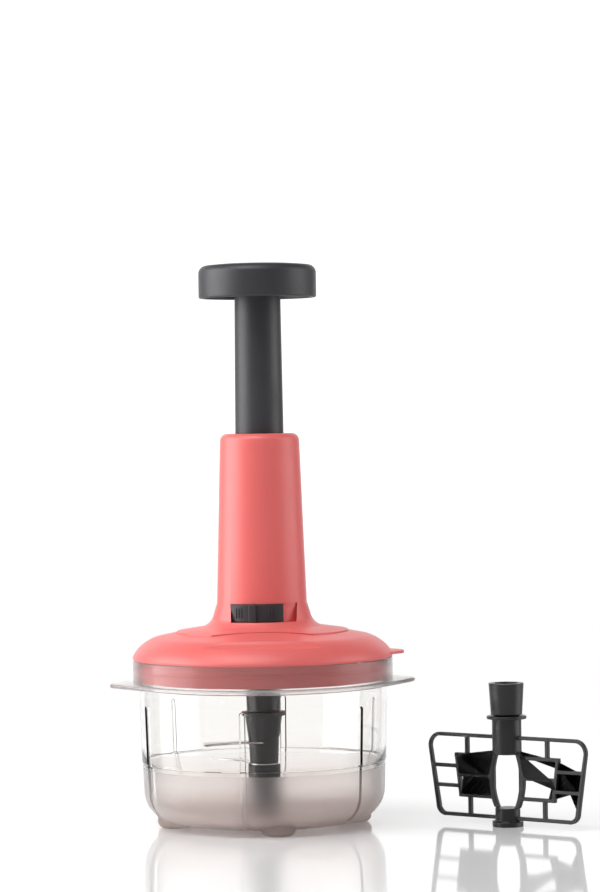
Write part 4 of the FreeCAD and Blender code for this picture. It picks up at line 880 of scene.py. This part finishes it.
# ---------------------------------------------------------------- lid and tower
@dataclass
class Lid:
    """Coral dome with its skirt, the tower's seat, a finger tab and a shallow front scoop.

    Args:
        rest: Height of the bowl's rim, on which the lid lies.
        ceiling: Height of the dome's underside.
        wall: Thickness of the skirt.
        seal: Lower and upper edge of the seal's groove.
        seat: Height at which the tower's foot stands in the dome.
        scoop_forward: Distance from the axis to the scoop's deepest line.
        scoop_ring: Radius of the arc that this line follows.
        scoop_spread: Degrees of that arc to each side.
        scoop_lean: Degrees that the scoop leans to the front.
    """

    rest: float = 84.05
    rim: float = 65.1
    ceiling: float = 94.3
    wall: float = 2.0
    skirt: float = 62.3
    skirt_low: float = 73.0
    seal: tuple = (77.6, 80.4)
    seal_depth: float = 1.2
    shoulder: float = 61.9
    shoulder_round: float = 18.2
    shoulder_inner: float = 16.5
    edge_height: float = 97.0
    slope: float = 0.2
    foot: float = 43.0
    foot_front: float = 35.0
    seat: float = 96.8
    seat_gap: float = 0.3
    hole: float = 17.0
    scoop_forward: float = 54.6
    scoop_depth: float = 1.6
    scoop_round: float = 6.5
    scoop_ring: float = 154.0
    scoop_spread: float = 20
    scoop_lean: float = 20.3
    tab_reach: float = 70.8
    tab_low: float = 85.2
    tab_thick: float = 1.4
    tab_half: float = 13.0
    tab_round: float = 1.6

    def dome(self) -> Form:
        """Return the turned dome."""
        inner_top = self.edge_height + (self.foot - self.hole) * self.slope
        shoulder_top = self.edge_height - (self.shoulder - self.foot) * self.slope
        seal_low, seal_high = self.seal
        return Form().turned([
            Corner(self.hole, self.ceiling),
            Corner(self.hole, inner_top),
            Corner(self.shoulder, shoulder_top, self.shoulder_round, 22),
            Corner(self.rim, self.tab_low, 0.5, 3),
            Corner(self.rim, self.rest, 0.4, 3),
            Corner(self.skirt, self.rest, 0.3, 2),
            Corner(self.skirt, seal_high),
            Corner(self.skirt - self.seal_depth, seal_high),
            Corner(self.skirt - self.seal_depth, seal_low),
            Corner(self.skirt, seal_low),
            Corner(self.skirt, self.skirt_low, 0.5, 3),
            Corner(self.skirt - self.wall, self.skirt_low, 0.5, 3),
            Corner(self.skirt - self.wall, self.ceiling, self.shoulder_inner, 12),
        ], 288)

    def seat_tool(self) -> Form:
        """Return the shape of the tower's foot, which is cut into the dome."""
        disc = Form().turned(block(0, self.foot + self.seat_gap, self.seat, self.seat + 12), 288)
        return disc.trim(0, self.foot_front + self.seat_gap, 0)

    def scoop_tool(self) -> Form:
        """Return part of a thick ring that bends less than the dome."""
        lift = self.scoop_round - self.scoop_depth
        lean = math.radians(self.scoop_lean)
        reach = self.scoop_ring + lift * math.sin(lean)
        top = self.edge_height - (self.scoop_forward - self.foot) * self.slope - self.scoop_depth / 2
        height = top + lift * math.cos(lean)
        form = Form()
        disc = bmesh.ops.create_circle(form.mesh, cap_ends=True, segments=160, radius=self.scoop_round * MM)
        upright = Matrix.Translation((0, -reach * MM, height * MM)) @ Matrix.Rotation(math.pi / 2, 4, "Y")
        half = math.radians(self.scoop_spread)
        bmesh.ops.transform(form.mesh, matrix=Matrix.Rotation(-half, 4, "Z") @ upright, verts=disc["verts"])
        bmesh.ops.spin(form.mesh, geom=form.mesh.faces[:], cent=(0, 0, 0), axis=(0, 0, 1), angle=2 * half,
                       steps=90)
        return form.clean().move(Matrix.Translation((0, (self.scoop_ring - self.scoop_forward) * MM, 0)))

    def tab(self) -> Form:
        """Return the thin finger tab on the right."""
        form = Form()
        root, nose = self.rim - 2.0, self.tab_half / 2
        spots = [(root, -self.tab_half), (self.tab_reach - 2, -nose), (self.tab_reach, -nose / 2),
                 (self.tab_reach, nose / 2), (self.tab_reach - 2, nose), (root, self.tab_half)]
        points = [form.mesh.verts.new((x * MM, y * MM, self.tab_low * MM)) for x, y in spots]
        form.mesh.faces.new(points)
        form.round_off(points[1:5], self.tab_round, 5, "VERTICES", True)
        form.mesh.faces.ensure_lookup_table()
        face = form.mesh.faces[0]
        grown = bmesh.ops.extrude_face_region(form.mesh, geom=[face])
        tops = [item for item in grown["geom"] if isinstance(item, bmesh.types.BMVert)]
        bmesh.ops.translate(form.mesh, verts=tops, vec=(0, 0, self.tab_thick * MM))
        form.clean()
        rims = [e for e in form.mesh.edges if e.is_manifold and e.calc_face_angle() > math.radians(60)
                and all(v.co.x > (root + 0.01) * MM for v in e.verts)]
        form.round_off(rims, 0.4, 3, "EDGES", True)
        return form.clean()

    def build(self) -> Piece:
        """Build the lid."""
        piece = self.dome().move(AXIS).to_object("lid_fine")
        tab = self.tab().move(AXIS).to_object("lid_tab")
        merge = piece.modifiers.new("tab", "BOOLEAN")
        merge.operation, merge.solver, merge.object = "UNION", "EXACT", tab
        settle(piece)
        bpy.data.objects.remove(tab)
        carve(piece, self.seat_tool().move(AXIS).to_object("seat"),
              self.scoop_tool().move(AXIS).to_object("scoop"))
        return hand_over(piece, Slot.CORAL, Body.LID, ["lid_dome"])


@dataclass
class Tower:
    """Coral tower that flares into its foot, with the lock's window and the slot of its catch.

    Args:
        flare: Corner where the foot turns up, with its rounding.
        front: Distance from the axis to the foot's flat front.
        face: Radius at the waist, over which the tower narrows.
        floor: Radius of the window's floor.
        left: Angle of the window's left end from the front, in degrees.
        left_tilt: Bearing of the plane that trims this end.
        spare: Degrees that are trimmed from each end.
    """

    base: float = 96.82
    foot: float = 43.0
    foot_top: float = 97.7
    flare: tuple = (26.0, 100.3, 7.5, 18)
    front: float = 35.0
    waist: float = 111.65
    top: float = 196.2
    top_radius: float = 19.75
    bore: float = 20.1
    bore_top: float = 17.4
    mouth: float = 12.7
    ceiling: float = 193.7
    face: float = 22.5
    floor: float = 21.95
    low: float = 102.7
    high: float = 112.0
    left: float = -43.7
    right: float = 51.0
    left_tilt: float = -90
    right_tilt: float = 84
    reach: float = 45
    spare: float = 25
    slot_low: float = 109.3
    slot_high: float = 111.7
    slot_left: float = -19.2
    slot_right: float = 17.8
    slot_reach: float = 22.4

    def build(self) -> Piece:
        """Build the tower."""
        form = Form().turned([
            Corner(self.bore, self.base),
            Corner(self.foot, self.base),
            Corner(self.foot, self.foot_top, 0.4, 3),
            Corner(*self.flare),
            Corner(self.face, self.waist),
            Corner(self.top_radius, self.top, 3.6, 8),
            Corner(self.mouth, self.top, 0.5, 3),
            Corner(self.mouth, self.ceiling),
            Corner(self.bore_top, self.ceiling),
            Corner(self.bore, self.waist),
        ], 288)
        piece = form.trim(0, self.front, 0).move(AXIS).to_object("tower_fine")
        window = Form().sector(block(self.floor, self.reach, self.low, self.high),
                               self.left - self.spare, self.right + self.spare, 145)
        for side, tilt in ((self.left, self.left_tilt), (self.right, self.right_tilt)):
            turn = math.radians(side)
            window.trim(self.face * math.sin(turn), self.face * math.cos(turn), tilt)
        slot = Form().sector(block(18, self.slot_reach, self.slot_low, self.slot_high),
                             self.slot_left, self.slot_right, 37)
        carve(piece, window.move(AXIS).to_object("window"), slot.move(AXIS).to_object("slot"))
        return hand_over(piece, Slot.CORAL, Body.LID, ["tower_shell"])


@dataclass
class Lock:
    """Dark slide in the tower's window, with a raised ridge and fine grip ribs."""

    inner: float = 22.05
    outer: float = 23.2
    low: float = 103.0
    high: float = 111.7
    left: float = -43.1
    right: float = 27.5
    ridge: float = -11.7
    ridge_half: float = 4.2
    ridge_out: float = 24.6
    ribs: tuple = (-33.6, -30.0, -26.4, 8.4, 12.0, 15.6)
    rib_half: float = 0.75
    rib_stand: float = 0.35
    rib_inset: float = 1.9

    def bar(self, middle: float, half: float, out: float, inset: float) -> Form:
        """Return an upright bar of the slide.

        Args:
            middle: Angle of its middle from the front, in degrees.
            half: Half its width in degrees.
            out: Radius that it reaches.
            inset: How far it stays short of the slide's upper and lower edge.

        Returns:
            The bar.
        """
        section = block(self.inner + 0.2, out, self.low + inset, self.high - inset)
        return Form().sector(section, middle - half, middle + half, 8)

    def build(self) -> Piece:
        """Build the slide."""
        face = Form().sector(block(self.inner, self.outer, self.low, self.high), self.left, self.right, 72)
        piece = soften(face.move(AXIS).to_object("lock_fine"), 0.35)
        bars = [(self.bar(self.ridge, self.ridge_half, self.ridge_out, 0.05), 0.3)]
        bars += [(self.bar(rib, self.rib_half, self.outer + self.rib_stand, self.rib_inset), 0.15)
                 for rib in self.ribs]
        pieces = [piece] + [soften(form.move(AXIS).to_object("bar"), width) for form, width in bars]
        with bpy.context.temp_override(active_object=piece, selected_editable_objects=pieces):
            bpy.ops.object.join()
        return hand_over(piece, Slot.DARK, Body.LOCK, ["lock_button"])


# ---------------------------------------------------------------- plunger
@dataclass
class Plunger:
    """Dark knob and tube that slide into the tower."""

    crown: tuple = ((0, 281.6), (10.0, 281.45), (19.0, 281.05))
    knob: float = 29.5
    knob_edge: float = 280.15
    knob_low: float = 264.1
    knob_inner: float = 27.0
    knob_ceiling: float = 278.0
    tube: float = 12.1
    tube_upper: float = 11.55
    tube_bore: float = 9.3
    tube_low: float = 163.0
    tube_high: float = 271.0

    def build_knob(self) -> Piece:
        """Build the knob's cap."""
        form = Form().turned([
            *(Corner(across, up) for across, up in self.crown),
            Corner(self.knob, self.knob_edge, 4.0, 10),
            Corner(self.knob, self.knob_low, 0.9, 5),
            Corner(self.knob_inner, self.knob_low, 0.5, 3),
            Corner(self.knob_inner, self.knob_ceiling),
            Corner(0, self.knob_ceiling),
        ], 192)
        return hand_over(form.move(AXIS).to_object("knob_fine"), Slot.DARK, Body.PLUNGER, ["knob_cap"])

    def build_tube(self) -> Piece:
        """Build the tube."""
        form = Form().turned([
            Corner(self.tube_bore, self.tube_low),
            Corner(self.tube, self.tube_low, 0.3, 2),
            Corner(self.tube, 196.0),
            Corner(self.tube_upper, 262.0),
            Corner(self.tube_upper, self.tube_high),
            Corner(self.tube_bore, self.tube_high),
        ], 128)
        return hand_over(form.move(AXIS).to_object("tube_fine"), Slot.DARK, Body.PLUNGER, ["plunger_tube"])


# ---------------------------------------------------------------- small pieces with soft edges
@dataclass(frozen=True)
class SoftCopy:
    """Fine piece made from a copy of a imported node, with its sharp edges rounded.

    Args:
        node: Name of the node.
        slot: Material slot.
        body: Body that it moves with.
        width: Width of the rounding in millimetres.
        crease: Angle in degrees over which an edge is rounded.
    """

    node: str
    slot: Slot
    body: Body
    width: float
    crease: float = 35.0

    def build(self) -> Piece:
        """Build the piece."""
        form = Form()
        form.mesh.from_mesh(frame["nodes"][self.node].data)
        bmesh.ops.remove_doubles(form.mesh, verts=form.mesh.verts, dist=WELD)
        bmesh.ops.dissolve_limit(form.mesh, angle_limit=math.radians(0.4), verts=form.mesh.verts,
                                 edges=form.mesh.edges)
        piece = soften(form.to_object(self.node + "_fine"), self.width, 2, self.crease)
        return hand_over(piece, self.slot, self.body, [self.node])


SOFT_COPIES = [
    SoftCopy("whisk_frame", Slot.BLACK, Body.WHISK, 0.3),
    SoftCopy("whisk_socket", Slot.BLACK, Body.WHISK, 0.3),
    SoftCopy("hub_sleeve", Slot.BLACK, Body.BLADES, 0.25),
    SoftCopy("hub_body", Slot.BLACK, Body.BLADES, 0.15),
    SoftCopy("hub_stem", Slot.BLACK, Body.BLADES, 0.25),
    SoftCopy("hub_base", Slot.BLACK, Body.BLADES, 0.25),
    SoftCopy("upper_blade", Slot.STEEL, Body.BLADES, 0.2),
    SoftCopy("middle_blade", Slot.STEEL, Body.BLADES, 0.2),
    SoftCopy("lower_blade", Slot.STEEL, Body.BLADES, 0.2),
]


@dataclass
class Spring:
    """Return spring inside the tube."""

    low: float = 183.0
    high: float = 268.0
    mean: float = 7.6
    wire: float = 0.6
    turns: int = 13
    steps: int = 28
    travel: float = 60

    def build(self) -> Piece:
        """Build the spring."""
        form = Form()
        count = self.turns * self.steps
        rise = (self.high - self.low - 2 * self.wire) / count
        ring = bmesh.ops.create_circle(form.mesh, cap_ends=False, segments=8, radius=self.wire * MM)
        place = Matrix.Translation((self.mean * MM, 0, (self.low + self.wire) * MM))
        upright = place @ Matrix.Rotation(math.pi / 2, 4, "X")
        bmesh.ops.transform(form.mesh, matrix=upright, verts=ring["verts"])
        bmesh.ops.spin(form.mesh, geom=form.mesh.edges[:] + form.mesh.verts[:], cent=(0, 0, 0),
                       axis=(0, 0, 1), dvec=(0, 0, rise * MM), angle=math.tau * self.turns, steps=count)
        bmesh.ops.holes_fill(form.mesh, edges=[e for e in form.mesh.edges if e.is_boundary])
        piece = form.clean().move(AXIS).to_object("spring_fine")
        hand_over(piece, Slot.STEEL, Body.LID, ["return_spring"])
        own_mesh(piece)
        return piece


# ---------------------------------------------------------------- studio
@dataclass(frozen=True)
class Camera:
    """Camera of the main view.

    Args:
        place: Where the camera stands, in metres.
        yaw: Turn to the right, in degrees.
        pitch: Turn up, in degrees.
        roll: Lean to the right, in degrees.
        lens: Focal length in millimetres on the longer side of a 36 mm frame.
    """

    place: tuple = (-0.04072, -1.634, 0.2081)
    yaw: float = 0.710
    pitch: float = -0.649
    roll: float = -0.845
    lens: float = 131.53

    def build(self) -> None:
        """Add the camera."""
        yaw, pitch, roll = (math.radians(a) for a in (self.yaw, self.pitch, self.roll))
        ahead = Vector((math.sin(yaw) * math.cos(pitch), math.cos(yaw) * math.cos(pitch), math.sin(pitch)))
        side = Vector((math.cos(yaw), -math.sin(yaw), 0))
        top = side.cross(ahead)
        right = math.cos(roll) * side + math.sin(roll) * top
        up = -math.sin(roll) * side + math.cos(roll) * top
        data = bpy.data.cameras.new("main view")
        data.lens, data.sensor_width = self.lens, 36.0
        data.clip_start, data.clip_end = 0.05, 50.0
        camera = bpy.data.objects.new("main view", data)
        turn = Matrix((right, up, -ahead)).transposed()
        camera.matrix_world = Matrix.Translation(self.place) @ turn.to_4x4()
        bpy.context.scene.collection.objects.link(camera)
        bpy.context.scene.camera = camera


@dataclass
class Studio:
    """Floor, backdrop, three soft lights and the even light of the room."""

    room: float = 0.16
    backdrop: float = 1.15

    def sheet(self, name: str, wide: float, tall: float, matrix: Matrix, finish: Finish) -> None:
        """Add a flat surface of the studio.

        Args:
            name: Name of the surface.
            wide: Width in metres.
            tall: Height in metres.
            matrix: Where it stands.
            finish: Its finish.
        """
        form = Form()
        bmesh.ops.create_grid(form.mesh, x_segments=1, y_segments=1, size=0.5)
        form.move(matrix @ Matrix.Diagonal((wide, tall, 1, 1)))
        piece = form.to_object(name)
        piece.data.materials.append(finish.material())

    def light(self, name: str, place: tuple, aim: tuple, wide: float, tall: float, power: float) -> None:
        """Add a soft light.

        Args:
            name: Name of the light.
            place: Where it stands, in metres.
            aim: Point that it faces.
            wide: Width in metres.
            tall: Height in metres.
            power: Power in watts.
        """
        data = bpy.data.lights.new(name, "AREA")
        data.shape, data.size, data.size_y, data.energy = "RECTANGLE", wide, tall, power
        lamp = bpy.data.objects.new(name, data)
        lamp.location = place
        lamp.rotation_euler = (Vector(aim) - Vector(place)).to_track_quat("-Z", "Y").to_euler()
        bpy.context.scene.collection.objects.link(lamp)

    def build(self) -> None:
        """Build the studio."""
        world = bpy.data.worlds.new("room")
        world.use_nodes = True
        world.node_tree.nodes["Background"].inputs["Color"].default_value = (1, 1, 1, 1)
        world.node_tree.nodes["Background"].inputs["Strength"].default_value = self.room
        bpy.context.scene.world = world
        bpy.context.scene.view_settings.view_transform = "Standard"
        self.sheet("floor", 9.0, 9.0, Matrix.Identity(4), FloorFinish())
        upright = Matrix.Translation((0, 3.2, 1.2)) @ Matrix.Rotation(math.pi / 2, 4, "X")
        self.sheet("backdrop", 4.6, 2.4, upright, Glow("backdrop glow", self.backdrop))
        aim = (-0.04, 0, 0.14)
        self.light("left softbox", (-1.30, -0.08, 0.50), aim, 1.25, 1.2, 23.0)
        self.light("right softbox", (1.30, -0.05, 0.50), aim, 1.0, 1.2, 8.8)
        self.light("high softbox", (-0.40, -0.65, 1.45), aim, 1.1, 0.8, 14.0)


# ---------------------------------------------------------------- assembly
def dress_nodes() -> None:
    """Give every node that stays its finish, by the slot that the record names."""
    for part in frame["record"]["subparts"]:
        node = frame["nodes"][part["node"]]
        finish = FINISHES[Slot(part["material_slot"])]
        node.data.materials.clear()
        node.data.materials.append(finish.material())


def main() -> None:
    """Build the studio, dress the nodes and add the fine pieces."""
    logging.basicConfig(level=logging.INFO, format="%(name)s %(message)s")
    Camera().build()
    Studio().build()
    dress_nodes()
    plunger = Plunger()
    bowl = Bowl()
    makers = [bowl.build, bowl.build_feet, Lid().build, Tower().build, Lock().build, plunger.build_knob,
              plunger.build_tube, Spring().build]
    makers += [copy.build for copy in SOFT_COPIES]
    for make in makers:
        piece = make()
        log.info("made %s", piece.name)


if __name__ == "__main__":
    main()
